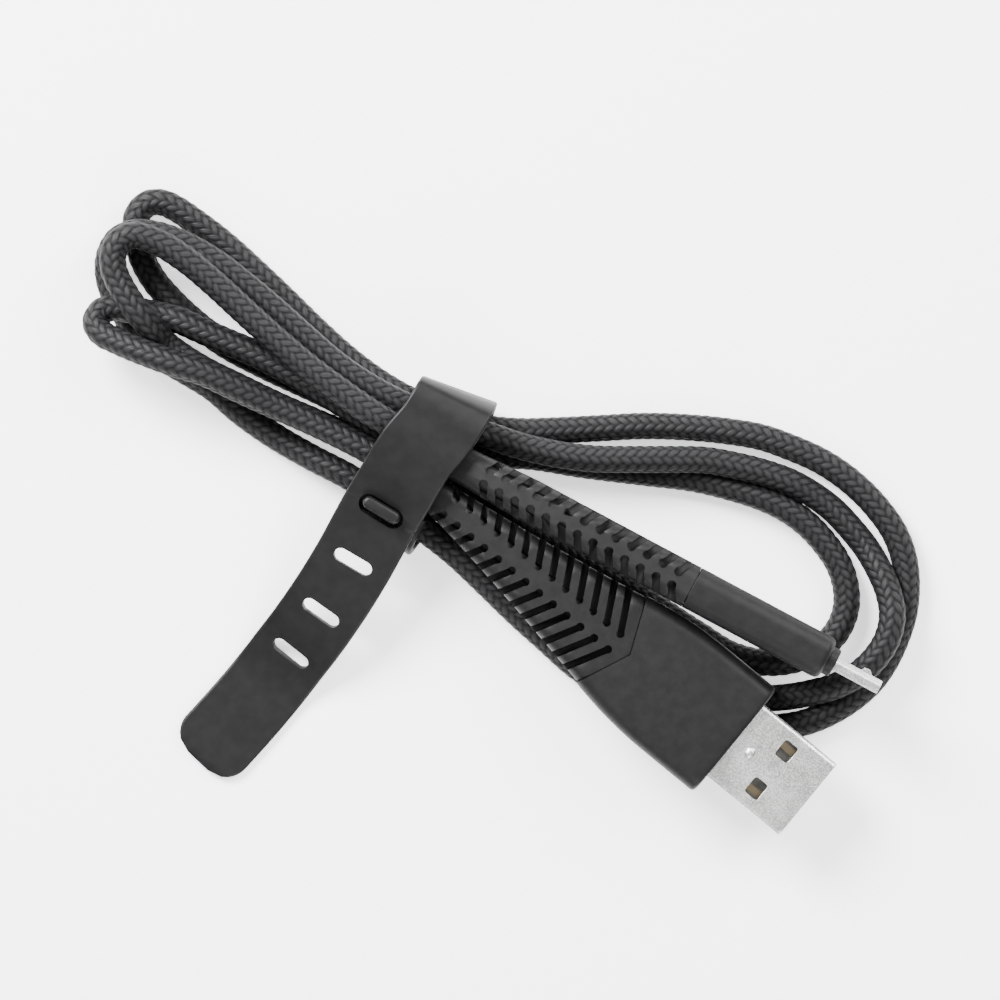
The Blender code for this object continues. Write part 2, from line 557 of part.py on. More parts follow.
def make_usb_a(rear):
    pivot_place = rear + Vector((0, 0, RELIEF_HEIGHT_REAR / 2))
    turn = Matrix.Rotation(USB_A_ANGLE, 4, "Z").to_quaternion()
    pivot = empty("usb_a_pivot", pivot_place, turn)
    axis = empty("usb_a_axis", (RELIEF_END, 0, -RELIEF_HEIGHT_REAR / 2), (1, 0, 0, 0), pivot)
    make_usb_a_body(axis)
    make_usb_a_shell(axis)
    ferrule_place = -HOUSING_LENGTH + HOUSING_NOTCH + GAP + FERRULE_LENGTH / 2
    make_ferrule("usb_a_ferrule", axis, ferrule_place, NICKEL)
    cord_end = ferrule_place + FERRULE_LENGTH / 2
    make_usb_a_inside(axis, cord_end)
    line = [Vector((-RELIEF_END, 0, 0)), Vector((cord_end, 0, 0))]
    tube("usb_a_cord_end", line, CORD_DIAMETER, BRAID, axis)


# Micro plug


def micro_half_size(x):
    if x > MICRO_RELIEF_END:
        return MICRO_WIDTH / 2, MICRO_THICKNESS / 2, MICRO_CORNER
    share = (x - MICRO_RELIEF_START) / (MICRO_RELIEF_END - MICRO_RELIEF_START)
    width = MICRO_WIDTH_REAR + (MICRO_WIDTH - MICRO_WIDTH_REAR) * share
    thickness = MICRO_THICKNESS_REAR + (MICRO_THICKNESS - MICRO_THICKNESS_REAR) * min(1.0, share * 3)
    return width / 2, thickness / 2, MICRO_CORNER


def make_micro_body(axis):
    bm = bmesh.new()
    sections = []
    shoulder = MICRO_HOUSING_END
    for x, inset in ((MICRO_RELIEF_END + GAP, 0.0), (shoulder - 0.6 * MM, 0.0), (shoulder, 0.35 * MM),
                     (shoulder + 1e-6, 0.9 * MM), (shoulder + MICRO_NECK, 0.9 * MM)):
        half_width, half_height, corner = micro_half_size(max(x, MICRO_RELIEF_END + GAP))
        sections.append(rounded_section(x, half_width - inset, half_height - inset, corner))
    loft(bm, sections)
    housing = mesh_object("micro_housing", bm, RUBBER, axis)
    bm = bmesh.new()
    half = (MICRO_SHELL_WIDTH / 2 + FIT, MICRO_SHELL_HEIGHT / 2 + FIT)
    front_end = shoulder + MICRO_NECK + 1 * MM
    add_box(bm, (shoulder - MICRO_SHELL_ROOT - FIT, -half[0], -half[1]), (front_end, half[0], half[1]))
    cut(housing, cutter("micro_housing_socket", bm, axis))
    bm = bmesh.new()
    room = (MICRO_WIDTH / 2 - 1.4 * MM, CORD_DIAMETER / 2 + FIT + FERRULE_WALL + FIT)
    add_box(bm, (MICRO_RELIEF_END - 1 * MM, -room[0], -room[1]),
            (shoulder - MICRO_SHELL_ROOT + 0.5 * MM, room[0], room[1]))
    cut(housing, cutter("micro_housing_room", bm, axis))

    bm = bmesh.new()
    sections = []
    start, end = MICRO_RELIEF_START, MICRO_RELIEF_END
    for step in range(8):
        x = start + (end - start) * step / 7
        half_width, half_height, corner = micro_half_size(x)
        sections.append(rounded_section(x, half_width, half_height, corner))
    loft(bm, sections)
    relief = mesh_object("micro_relief", bm, RUBBER, axis)
    cut(relief, bore_cutter("micro_relief_bore", start - 1 * MM, end + 1 * MM, axis))
    cut(relief, slot_cutters("micro_relief_slots", micro_half_size, axis, MICRO_FIRST_SLOT, MICRO_SLOTS,
                             MICRO_SLOT_INNER, "Y", -SLOT_LEAN))


def make_micro_shell(axis):
    start = MICRO_HOUSING_END - MICRO_SHELL_ROOT
    end = MICRO_HOUSING_END + MICRO_NECK + MICRO_SHELL_REACH
    half_width, half_height = MICRO_SHELL_WIDTH / 2, MICRO_SHELL_HEIGHT / 2

    def section(x, inset):
        wide, low = half_width - inset, half_height - inset
        slope = MICRO_SHELL_BEVEL * 1.6 - inset * 0.4
        return [Vector((x, wide, low)), Vector((x, -wide, low)), Vector((x, -wide, -low + MICRO_SHELL_BEVEL)),
                Vector((x, -wide + slope, -low)), Vector((x, wide - slope, -low)),
                Vector((x, wide, -low + MICRO_SHELL_BEVEL))]

    bm = bmesh.new()
    loft(bm, [section(start, 0), section(end, 0)])
    shell = mesh_object("micro_shell", bm, NICKEL, axis)
    bm = bmesh.new()
    loft(bm, [section(start - 1 * MM, MICRO_SHELL_WALL), section(end + 1 * MM, MICRO_SHELL_WALL)])
    cut(shell, cutter("micro_shell_inside", bm, axis))
    bm = bmesh.new()
    latch_x = end - 2.4 * MM
    for side in (-1, 1):
        y = side * LATCH_OFFSET
        half = LATCH_WIDTH / 2 + FIT
        low = (latch_x - LATCH_ARM - FIT, y - half, -2 * half_height)
        add_box(bm, low, (latch_x + LATCH_LENGTH, y + half, 0))
    cut(shell, cutter("micro_shell_latch_slots", bm, axis))
    for side, name in ((-1, "left"), (1, "right")):
        make_latch("micro_latch_" + name, axis, latch_x, side * LATCH_OFFSET, -half_height)

    tongue_z = half_height - MICRO_SHELL_WALL - FIT
    tongue_half = half_width - MICRO_SHELL_WALL - FIT
    tongue_end = end - 0.6 * MM
    tongue_low = tongue_z - MICRO_TONGUE_THICKNESS
    bm = bmesh.new()
    add_box(bm, (start, -tongue_half, tongue_low), (tongue_end, tongue_half, tongue_z))
    tongue = mesh_object("micro_tongue", bm, PLASTIC, axis)
    bm = bmesh.new()
    grooves = [(number - 2) * MICRO_CONTACT_PITCH for number in range(len(MICRO_CONTACT_NAMES))]
    for y in grooves:
        half = MICRO_CONTACT_WIDTH / 2 + FIT / 2
        add_box(bm, (start - 1 * MM, y - half, tongue_low - 1 * MM),
                (tongue_end - 0.6 * MM + FIT, y + half, tongue_low + MICRO_CONTACT_THICKNESS + FIT / 2))
    cut(tongue, cutter("micro_tongue_grooves", bm, axis))
    for name, y in zip(MICRO_CONTACT_NAMES, grooves):
        bm = bmesh.new()
        add_box(bm, (start - 1.5 * MM, y - MICRO_CONTACT_WIDTH / 2, tongue_low),
                (tongue_end - 0.6 * MM, y + MICRO_CONTACT_WIDTH / 2, tongue_low + MICRO_CONTACT_THICKNESS))
        mesh_object("micro_contact_" + name, bm, GOLD, axis)
    return start


def make_latch(name, axis, x, y, face):
    """A sprung hook: an arm along the shell's wall with a ramped tooth that stands out of its slot."""
    arm_root = empty(name + "_pivot", (x - LATCH_ARM, y, face + MICRO_SHELL_WALL / 2), (1, 0, 0, 0), axis)
    bm = bmesh.new()
    half = LATCH_WIDTH / 2
    wall = MICRO_SHELL_WALL / 2
    crest = -wall - LATCH_RISE
    outline = ((0, wall), (0, -wall), (LATCH_ARM - LATCH_LENGTH * 0.5, -wall),
               (LATCH_ARM - LATCH_LENGTH * 0.2, crest), (LATCH_ARM + LATCH_LENGTH * 0.25, crest),
               (LATCH_ARM + LATCH_LENGTH * 0.7, -wall), (LATCH_ARM + LATCH_LENGTH * 0.7, wall))
    base = bm.faces.new([bm.verts.new((px, -half, pz)) for px, pz in outline])
    top = bmesh.ops.extrude_face_region(bm, geom=[base])["geom"]
    moved = [v for v in top if isinstance(v, bmesh.types.BMVert)]
    bmesh.ops.translate(bm, vec=(0, 2 * half, 0), verts=moved)
    mesh_object(name, bm, NICKEL, arm_root)


def make_micro():
    lie = Matrix.Rotation(MICRO_ANGLE, 4, "Z") @ Matrix.Rotation(-MICRO_TILT, 4, "Y")
    on_edge = lie @ Matrix.Rotation(math.radians(90), 4, "X")
    start = MICRO_ZERO + lie.to_3x3() @ Vector((MICRO_RELIEF_START, 0, MICRO_WIDTH_REAR / 2))
    pivot = empty("micro_pivot", start, on_edge.to_quaternion())
    axis = empty("micro_axis", (-MICRO_RELIEF_START, -MICRO_WIDTH_REAR / 2, 0), (1, 0, 0, 0), pivot)
    make_micro_body(axis)
    root = make_micro_shell(axis)
    ferrule_place = MICRO_RELIEF_END + GAP + FERRULE_LENGTH / 2
    make_ferrule("micro_ferrule", axis, ferrule_place, NICKEL)
    cord_end = ferrule_place + FERRULE_LENGTH / 2
    line = [Vector((MICRO_RELIEF_START, 0, 0)), Vector((cord_end, 0, 0))]
    tube("micro_cord_end", line, CORD_DIAMETER, BRAID, axis)
    rows = (("red", 1.35), ("white", 0.45), ("green", -0.45), ("black", -1.35))
    for colour, y in rows:
        line = [Vector((cord_end + 0.6 * MM, y * MM, -0.2 * MM)), Vector((root - 2 * MM, y * MM, -0.2 * MM))]
        tube("micro_wire_" + colour, line, WIRE_DIAMETER * 0.85, WIRE_COLOURS[colour], axis)


# Tie


def tie_frames(line):
    """Places along a tie's middle line with the directions of its length, width and thickness."""
    middle = smooth_line([Vector(p[:3]) * MM for p in line], 3)
    for place in middle:
        place.z = max(place.z, TIE_THICKNESS / 2)
    angles = smooth_line([Vector((p[3], i, 0)) for i, p in enumerate(line)], 3)
    frames = []
    for i, place in enumerate(middle):
        forward = (middle[min(i + 1, len(middle) - 1)] - middle[max(i - 1, 0)]).normalized()
        turn = math.radians(angles[i].x)
        width = Vector((math.cos(turn), math.sin(turn), 0))
        width = (width - width.dot(forward) * forward).normalized()
        frames.append((place, forward, width, width.cross(forward)))
    return frames


def tie_strip(name, line, rounded_end=False):
    frames = tie_frames(line)
    bm = bmesh.new()
    sections = []
    travelled = 0.0
    total = sum((b[0] - a[0]).length for a, b in zip(frames, frames[1:]))
    corner = 3.5 * MM
    for i, (place, _, width, thick) in enumerate(frames):
        if i:
            travelled += (place - frames[i - 1][0]).length
        half = TIE_WIDTH / 2
        left = total - travelled
        if rounded_end and left < corner:
            half -= corner - math.sqrt(max(corner**2 - (corner - left) ** 2, 0))
        out = thick * TIE_THICKNESS / 2
        sections.append([place + width * half + out, place - width * half + out,
                         place - width * half - out, place + width * half - out])
    loft(bm, sections)
    return mesh_object(name, bm, SILICONE)


def stadium_cutter(name, place, width, forward, thick, length, breadth):
    """A slot with round ends, along width, through the strip."""
    bm = bmesh.new()
    depth = 6 * TIE_THICKNESS
    straight = (length - breadth) / 2
    turn = Matrix((width, forward, thick)).transposed().to_4x4()
    steps = 6
    outline = []
    for end in (1, -1):
        for step in range(steps + 1):
            around = math.pi * step / steps - math.pi / 2 + (0 if end > 0 else math.pi)
            outline.append((end * straight + breadth / 2 * math.cos(around), breadth / 2 * math.sin(around)))
    base = bm.faces.new([bm.verts.new((x, y, -depth / 2)) for x, y in outline])
    top = bmesh.ops.extrude_face_region(bm, geom=[base])["geom"]
    moved = [v for v in top if isinstance(v, bmesh.types.BMVert)]
    bmesh.ops.translate(bm, vec=(0, 0, depth), verts=moved)
    bmesh.ops.transform(bm, matrix=Matrix.Translation(place) @ turn, verts=bm.verts)
    return cutter(name, bm)


def nearest_frame(frames, place):
    return min(frames, key=lambda frame: (frame[0].xy - Vector(place) * MM).length)


def make_tie():
    wrap = tie_strip("tie_wrap", TIE_WRAP_LINE)
    flap = tie_strip("tie_flap", TIE_FLAP_LINE)
    tail = tie_strip("tie_tail", TIE_TAIL_LINE, rounded_end=True)
    flap_frame = nearest_frame(tie_frames(TIE_FLAP_LINE), BUTTON_PLACE)
    place, forward, width, thick = flap_frame
    if thick.z < 0:
        thick = -thick
    hole_length = BUTTON_LENGTH + 2 * BUTTON_CLEARANCE
    hole_width = BUTTON_WIDTH + 2.4 * BUTTON_CLEARANCE
    cut(flap, stadium_cutter("tie_button_hole", place, width, forward, thick, hole_length, hole_width))
    base = place.z - TIE_WRAP_LINE[0][2] * MM
    bm = bmesh.new()
    corner = Vector((BUTTON_LENGTH / 2, BUTTON_WIDTH / 2, BUTTON_RISE))
    add_box(bm, (-corner.x, -corner.y, -base), corner)
    upright = [e for e in bm.edges if abs((e.verts[0].co - e.verts[1].co).normalized().z) > 0.99]
    bmesh.ops.bevel(bm, geom=upright, offset=0.6 * MM, segments=2, profile=0.5, affect="EDGES")
    level_forward = Vector((forward.x, forward.y, 0)).normalized()
    level_width = Vector((-level_forward.y, level_forward.x, 0))
    turn = Matrix((level_width, -level_forward, Vector((0, 0, 1)))).transposed().to_4x4()
    bmesh.ops.transform(bm, matrix=Matrix.Translation(place) @ turn, verts=bm.verts)
    join = wrap.modifiers.new("tie_button", "BOOLEAN")
    join.operation = "UNION"
    join.solver = "EXACT"
    join.object = cutter("tie_button", bm)
    frames = tie_frames(TIE_TAIL_LINE)
    for number, share in enumerate(TIE_SLOT_FRACTIONS, 1):
        place, forward, width, thick = frames[round(share * (len(frames) - 1))]
        slot = stadium_cutter(f"tie_slot_{number}", place, width, forward, thick, TIE_SLOT_LENGTH,
                              TIE_SLOT_WIDTH)
        cut(tail, slot)


make_cord()
make_usb_a(USB_A_REAR)
make_micro()
make_tie()
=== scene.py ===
"""The looks of the braided charging cable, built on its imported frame.

Metres, +Z up. Each piece is modelled in its own plug's frame and then put in place in its mesh.
"""

import math

import bmesh
import bpy
import numpy as np
from mathutils import Matrix, Vector


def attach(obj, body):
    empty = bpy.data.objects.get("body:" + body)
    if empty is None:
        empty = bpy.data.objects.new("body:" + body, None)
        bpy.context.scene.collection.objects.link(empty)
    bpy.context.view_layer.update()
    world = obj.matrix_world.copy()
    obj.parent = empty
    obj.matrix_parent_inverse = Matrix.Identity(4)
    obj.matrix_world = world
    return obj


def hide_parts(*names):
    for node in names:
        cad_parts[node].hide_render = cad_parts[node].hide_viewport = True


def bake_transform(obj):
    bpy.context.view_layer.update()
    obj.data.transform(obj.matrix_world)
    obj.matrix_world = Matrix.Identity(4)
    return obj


MM = 0.001

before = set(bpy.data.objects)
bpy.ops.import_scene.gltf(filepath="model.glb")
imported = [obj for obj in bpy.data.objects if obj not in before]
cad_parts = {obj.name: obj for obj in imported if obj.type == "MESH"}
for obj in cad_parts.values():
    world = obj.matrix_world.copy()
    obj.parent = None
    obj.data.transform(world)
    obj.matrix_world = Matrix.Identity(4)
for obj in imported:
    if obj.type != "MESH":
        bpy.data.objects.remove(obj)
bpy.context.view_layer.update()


# Materials


class Wire:
    """A socket of a material's node tree, with arithmetic on it."""

    def __init__(self, tree, socket):
        self.tree = tree
        self.socket = socket

    def math(self, operation, *others):
        made = self.tree.nodes.new("ShaderNodeMath")
        made.operation = operation
        for place, value in zip(made.inputs, (self, *others)):
            plug_in(self.tree, place, value)
        return Wire(self.tree, made.outputs[0])

    def __add__(self, other):
        return self.math("ADD", other)

    __radd__ = __add__

    def __mul__(self, other):
        return self.math("MULTIPLY", other)

    __rmul__ = __mul__

    def __sub__(self, other):
        return self.math("SUBTRACT", other)

    def __rsub__(self, other):
        return self * -1 + other

    def __truediv__(self, other):
        return self.math("DIVIDE", other)

    def clamp(self):
        return self.math("MAXIMUM", 0.0).math("MINIMUM", 1.0)

    def ramp(self, low, high):
        """0 below low, 1 above high, smooth between."""
        share = ((self - low) / (high - low)).clamp()
        return share * share * (3 - 2 * share)


def plug_in(tree, place, value):
    if isinstance(value, Wire):
        tree.links.new(value.socket, place)
    elif isinstance(value, (tuple, list)) and len(place.default_value) == 4:
        place.default_value = (*value[:3], 1)
    else:
        place.default_value = value


class Finish:
    """A material around one Principled BSDF."""

    def __init__(self, name, **uniform):
        self.material = bpy.data.materials.new(name)
        self.material.use_nodes = True
        self.tree = self.material.node_tree
        self.shader = self.tree.nodes["Principled BSDF"]
        self.set(**uniform)

    def set(self, **values):
        for key, value in values.items():
            plug_in(self.tree, self.shader.inputs[key.replace("_", " ")], value)

    def node(self, kind, output=0, settings=(), sockets=()):
        """A new node with its settings, then the values or links of its sockets by name or number."""
        made = self.tree.nodes.new(kind)
        for key, value in dict(settings).items():
            setattr(made, key, value)
        for key, value in dict(sockets).items():
            plug_in(self.tree, made.inputs[key], value)
        return Wire(self.tree, made.outputs[output])

    def place(self):
        return self.node("ShaderNodeTexCoord", "Object")

    def noise(self, scale, detail=3.0, roughness=0.5, where=None):
        sockets = {"Vector": where or self.place(), "Scale": scale, "Detail": detail, "Roughness": roughness}
        return self.node("ShaderNodeTexNoise", "Fac", sockets=sockets)

    def stretched(self, where, scale):
        return self.node("ShaderNodeVectorMath", 0, {"operation": "MULTIPLY"}, {0: where, 1: scale})

    def mix(self, share, low, high):
        """A colour between two, by the colour sockets of a Mix node."""
        return self.node("ShaderNodeMix", 2, {"data_type": "RGBA"}, {"Factor": share, 6: low, 7: high})

    def bump(self, height, distance, strength=1.0):
        return self.node("ShaderNodeBump", sockets={"Strength": strength, "Distance": distance, "Height": height})

    def attribute(self, name):
        return self.node("ShaderNodeAttribute", "Fac", {"attribute_name": name})


def moulded(name, dark, light, roughness, grain, depth, coarse=600.0):
    """Moulded rubber or plastic: a fine grain, faint cloudiness and slightly uneven gloss."""
    finish = Finish(name, Specular_IOR_Level=0.2)
    cloud = finish.noise(coarse, 4.0, 0.6)
    fine = finish.noise(grain, 2.0, 0.6)
    finish.set(
        Base_Color=finish.mix(cloud.ramp(0.3, 0.7), dark, light),
        Roughness=roughness + (cloud - 0.5) * 0.08 + (fine - 0.5) * 0.12,
        Normal=finish.bump(fine, depth),
    )
    return finish.material


def make_braid():
    """Yarns of the braid: a painted highlight on their crowns and painted shade in the crossings, both from the weave
    height, with fine filaments.
    """
    finish = Finish("black_braid", Specular_IOR_Level=0.15)
    height = finish.attribute("weave_height")
    across = finish.attribute("yarn_across")
    patch = finish.noise(260.0, 3.0, 0.6)
    hair = finish.noise(5200.0, 2.0, 0.7)
    filaments = (across * (2 * math.pi * 4)).math("SINE") * 0.5 + 0.5
    # Painted light: the weave height becomes a painted highlight on the yarn crowns and painted shade where the yarns
    # dip into the crossings.
    crown_highlight_crossing_shade = (height.ramp(0.4, 1.0) * (0.75 + 0.5 * patch)).clamp()
    tone_with_painted_light = (crown_highlight_crossing_shade * 0.85 + (filaments * 0.6 + hair * 0.4) * 0.25 * crown_highlight_crossing_shade).clamp()
    finish.set(
        Base_Color=finish.mix(tone_with_painted_light, (0.0006, 0.0006, 0.0007), (0.0135, 0.0137, 0.0144)),
        Roughness=0.62 - 0.14 * tone_with_painted_light + (hair - 0.5) * 0.1,
        Normal=finish.bump(filaments * 0.7 + hair * 0.5, 0.03 * MM),
    )
    return finish.material


def make_nickel():
    """Satin nickel plate over formed steel: fine rolling lines, faint clouding and handling marks."""
    finish = Finish("nickel", Metallic=1.0, Specular_IOR_Level=0.5)
    where = finish.place()
    lines = finish.noise(900.0, 3.0, 0.65, finish.stretched(where, (1.0, 5.0, 5.0)))
    grain = finish.noise(5000.0, 2.0, 0.6)
    cloud = finish.noise(240.0, 4.0, 0.6)
    finish.set(
        Base_Color=finish.mix((cloud * 0.3 + grain * 0.7).ramp(0.36, 0.64), (0.40, 0.395, 0.385), (0.74, 0.735, 0.72)),
        Roughness=0.34 + (cloud - 0.5) * 0.16 + (grain - 0.5) * 0.2,
        Normal=finish.bump(grain * 1.0 + lines * 0.5, 0.045 * MM),
    )
    return finish.material


def make_gold():
    # Base colour kept far darker than bright gold: painted shade for contacts that sit in shadow inside the plugs.
    finish = Finish("gold_contact", Metallic=1.0)
    cloud = finish.noise(700.0, 3.0, 0.6)
    finish.set(
        Base_Color=finish.mix(cloud, (0.22, 0.18, 0.12), (0.32, 0.27, 0.18)),
        Roughness=0.24 + cloud * 0.14,
        Normal=finish.bump(finish.noise(5000.0, 2.0), 0.004 * MM),
    )
    return finish.material


def make_surface():
    """The pale surface that the cable lies on."""
    finish = Finish("pale_surface", Specular_IOR_Level=0.2, Emission_Color=(1, 1, 1, 1), Emission_Strength=1.2)
    cloud = finish.noise(14.0, 4.0, 0.5)
    finish.set(
        Base_Color=finish.mix(cloud, (0.90, 0.90, 0.90), (0.93, 0.93, 0.93)),
        Roughness=0.6 + cloud * 0.1,
        Normal=finish.bump(finish.noise(1800.0, 3.0), 0.01 * MM, 0.4),
    )
    return finish.material


BRAID = make_braid()
NICKEL = make_nickel()
GOLD = make_gold()
TPE = moulded("black_tpe", (0.0026, 0.0026, 0.0028), (0.0048, 0.0048, 0.0051), 0.5, 5200.0, 0.010 * MM)
SILICONE = moulded("black_silicone", (0.0034, 0.0034, 0.0036), (0.0050, 0.0050, 0.0053), 0.44, 3600.0, 0.004 * MM)
PALE = moulded("pale_plastic", (0.16, 0.155, 0.145), (0.22, 0.215, 0.20), 0.45, 3000.0, 0.005 * MM)
BLACK = moulded("black_plastic", (0.015, 0.015, 0.015), (0.03, 0.03, 0.03), 0.45, 3000.0, 0.005 * MM)
WIRE_FINISH = {
    "red": moulded("red_wire", (0.40, 0.015, 0.015), (0.52, 0.03, 0.03), 0.45, 3000.0, 0.004 * MM),
    "white": moulded("white_wire", (0.70, 0.70, 0.68), (0.80, 0.80, 0.78), 0.45, 3000.0, 0.004 * MM),
    "green": moulded("green_wire", (0.015, 0.22, 0.05), (0.03, 0.32, 0.08), 0.45, 3000.0, 0.004 * MM),
    "black": moulded("black_wire", (0.014, 0.014, 0.014), (0.028, 0.028, 0.028), 0.45, 3000.0, 0.004 * MM),
}


# Geometry helpers


def piece(name, bm, material, body, stands_for=(), place=None, smooth_degrees=40):
    """Turns a bmesh into a piece that rides on a body."""
    bm.normal_update()
    bmesh.ops.recalc_face_normals(bm, faces=bm.faces)
    mesh = bpy.data.meshes.new(name)
    bm.to_mesh(mesh)
    bm.free()
    return finish_piece(name, mesh, material, body, stands_for, place, smooth_degrees)


def finish_piece(name, mesh, material, body, stands_for=(), place=None, smooth_degrees=40):
    if place is not None:
        mesh.transform(place)
    mesh.materials.clear()
    mesh.materials.append(material)
    mesh.polygons.foreach_set("use_smooth", [True] * len(mesh.polygons))
    mesh.set_sharp_from_angle(angle=math.radians(smooth_degrees))
    made = bpy.data.objects.new(name, mesh)
    bpy.context.scene.collection.objects.link(made)
    if body:
        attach(made, body)
    if stands_for:
        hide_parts(*stands_for)
    return made


def carve(bm, tools, soften=0.0, segments=2, angle=38):
    """The bmesh with the tools cut out of it and its sharp edges softened, as a new mesh."""
    made = loose_object("carved", bm)
    cutters = [loose_object("cutter", tool) for tool in tools]
    for tool in cutters:
        modifier = made.modifiers.new("cut", "BOOLEAN")
        modifier.operation = "DIFFERENCE"
        modifier.solver = "EXACT"
        modifier.object = tool
    if soften:
        modifier = made.modifiers.new("soften", "BEVEL")
        modifier.width = soften
        modifier.segments = segments
        modifier.limit_method = "ANGLE"
        modifier.angle_limit = math.radians(angle)
        modifier.use_clamp_overlap = True
        made.modifiers.new("flat", "WEIGHTED_NORMAL").weight = 80
    made.data.polygons.foreach_set("use_smooth", [True] * len(made.data.polygons))
    bpy.context.view_layer.update()
    graph = bpy.context.evaluated_depsgraph_get()
    mesh = bpy.data.meshes.new_from_object(made.evaluated_get(graph))
    for thing in [made, *cutters]:
        bpy.data.objects.remove(thing)
    return mesh


def loose_object(name, bm):
    bm.normal_update()
    bmesh.ops.recalc_face_normals(bm, faces=bm.faces)
    mesh = bpy.data.meshes.new(name)
    bm.to_mesh(mesh)
    bm.free()
    made = bpy.data.objects.new(name, mesh)
    bpy.context.scene.collection.objects.link(made)
    return made


def add_box(bm, low, high):
    low, high = Vector(low), Vector(high)
    made = bmesh.ops.create_cube(bm, size=1.0)["verts"]
    bmesh.ops.scale(bm, vec=high - low, verts=made)
    bmesh.ops.translate(bm, vec=(low + high) / 2, verts=made)


def rounded_section(x, half_width, half_height, radius, steps=7):
    """A ring of points round a rounded rectangle across X."""
    radius = min(radius, half_width, half_height)
    ring = []
    for quarter, (side_y, side_z) in enumerate(((1, 1), (-1, 1), (-1, -1), (1, -1))):
        centre = Vector((x, side_y * (half_width - radius), side_z * (half_height - radius)))
        for step in range(steps + 1):
            turn = math.radians(90) * (quarter + step / steps)
            ring.append(centre + radius * Vector((0, math.cos(turn), math.sin(turn))))
    return ring


def loft(bm, sections, hollow=False):
    """A skin over the sections. Hollow means that the last section meets the first, and else both ends are capped."""
    rings = [[bm.verts.new(point) for point in section] for section in sections]
    count = len(rings[0])
    for near, far in zip(rings, rings[1:] + rings[:1] if hollow else rings[1:]):
        for i in range(count):
            j = (i + 1) % count
            bm.faces.new((near[i], near[j], far[j], far[i]))
    if not hollow:
        bm.faces.new(rings[0])
        bm.faces.new(reversed(rings[-1]))


def prism(outline, low, high):
    """A bmesh of an outline in XY, from one height to another."""
    bm = bmesh.new()
    base = bm.faces.new([bm.verts.new((x, y, low)) for x, y in outline])
    top = bmesh.ops.extrude_face_region(bm, geom=[base])["geom"]
    moved = [v for v in top if isinstance(v, bmesh.types.BMVert)]
    bmesh.ops.translate(bm, vec=(0, 0, high - low), verts=moved)
    return bm


def join_into(bm, other, matrix=None):
    """Adds another bmesh to this one."""
    if matrix is not None:
        other.transform(matrix)
    mesh = bpy.data.meshes.new("joined")
    other.to_mesh(mesh)
    other.free()
    bm.from_mesh(mesh)
    bpy.data.meshes.remove(mesh)


def cord_bore(middle):
    """The hole in a relief that the cord goes into, as a cutter."""
    bm = bmesh.new()
    turn = Matrix.Translation((middle, 0, 0)) @ Matrix.Rotation(math.radians(90), 4, "Y")
    bmesh.ops.create_cone(bm, cap_ends=True, segments=40, radius1=CORD_BORE, radius2=CORD_BORE, depth=40 * MM,
                          matrix=turn)
    return bm


def smooth_line(points, steps=24):
    """A dense smooth curve through the points, by Catmull-Rom with chord-length spacing."""
    points = [Vector(p) for p in points]
    ends = [2 * points[0] - points[1]] + points + [2 * points[-1] - points[-2]]
    line = []
    for p0, p1, p2, p3 in zip(ends, ends[1:], ends[2:], ends[3:]):
        d1, d2, d3 = (p1 - p0).length, (p2 - p1).length, (p3 - p2).length
        m1 = d2 * ((p1 - p0) / d1 - (p2 - p0) / (d1 + d2) + (p2 - p1) / d2)
        m2 = d2 * ((p2 - p1) / d2 - (p3 - p1) / (d2 + d3) + (p3 - p2) / d3)
        for step in range(steps):
            t = step / steps
            line.append(
                (2 * t**3 - 3 * t**2 + 1) * p1
                + (t**3 - 2 * t**2 + t) * m1
                + (3 * t**2 - 2 * t**3) * p2
                + (t**3 - t**2) * m2
            )
    line.append(points[-1])
    return line


# Cord

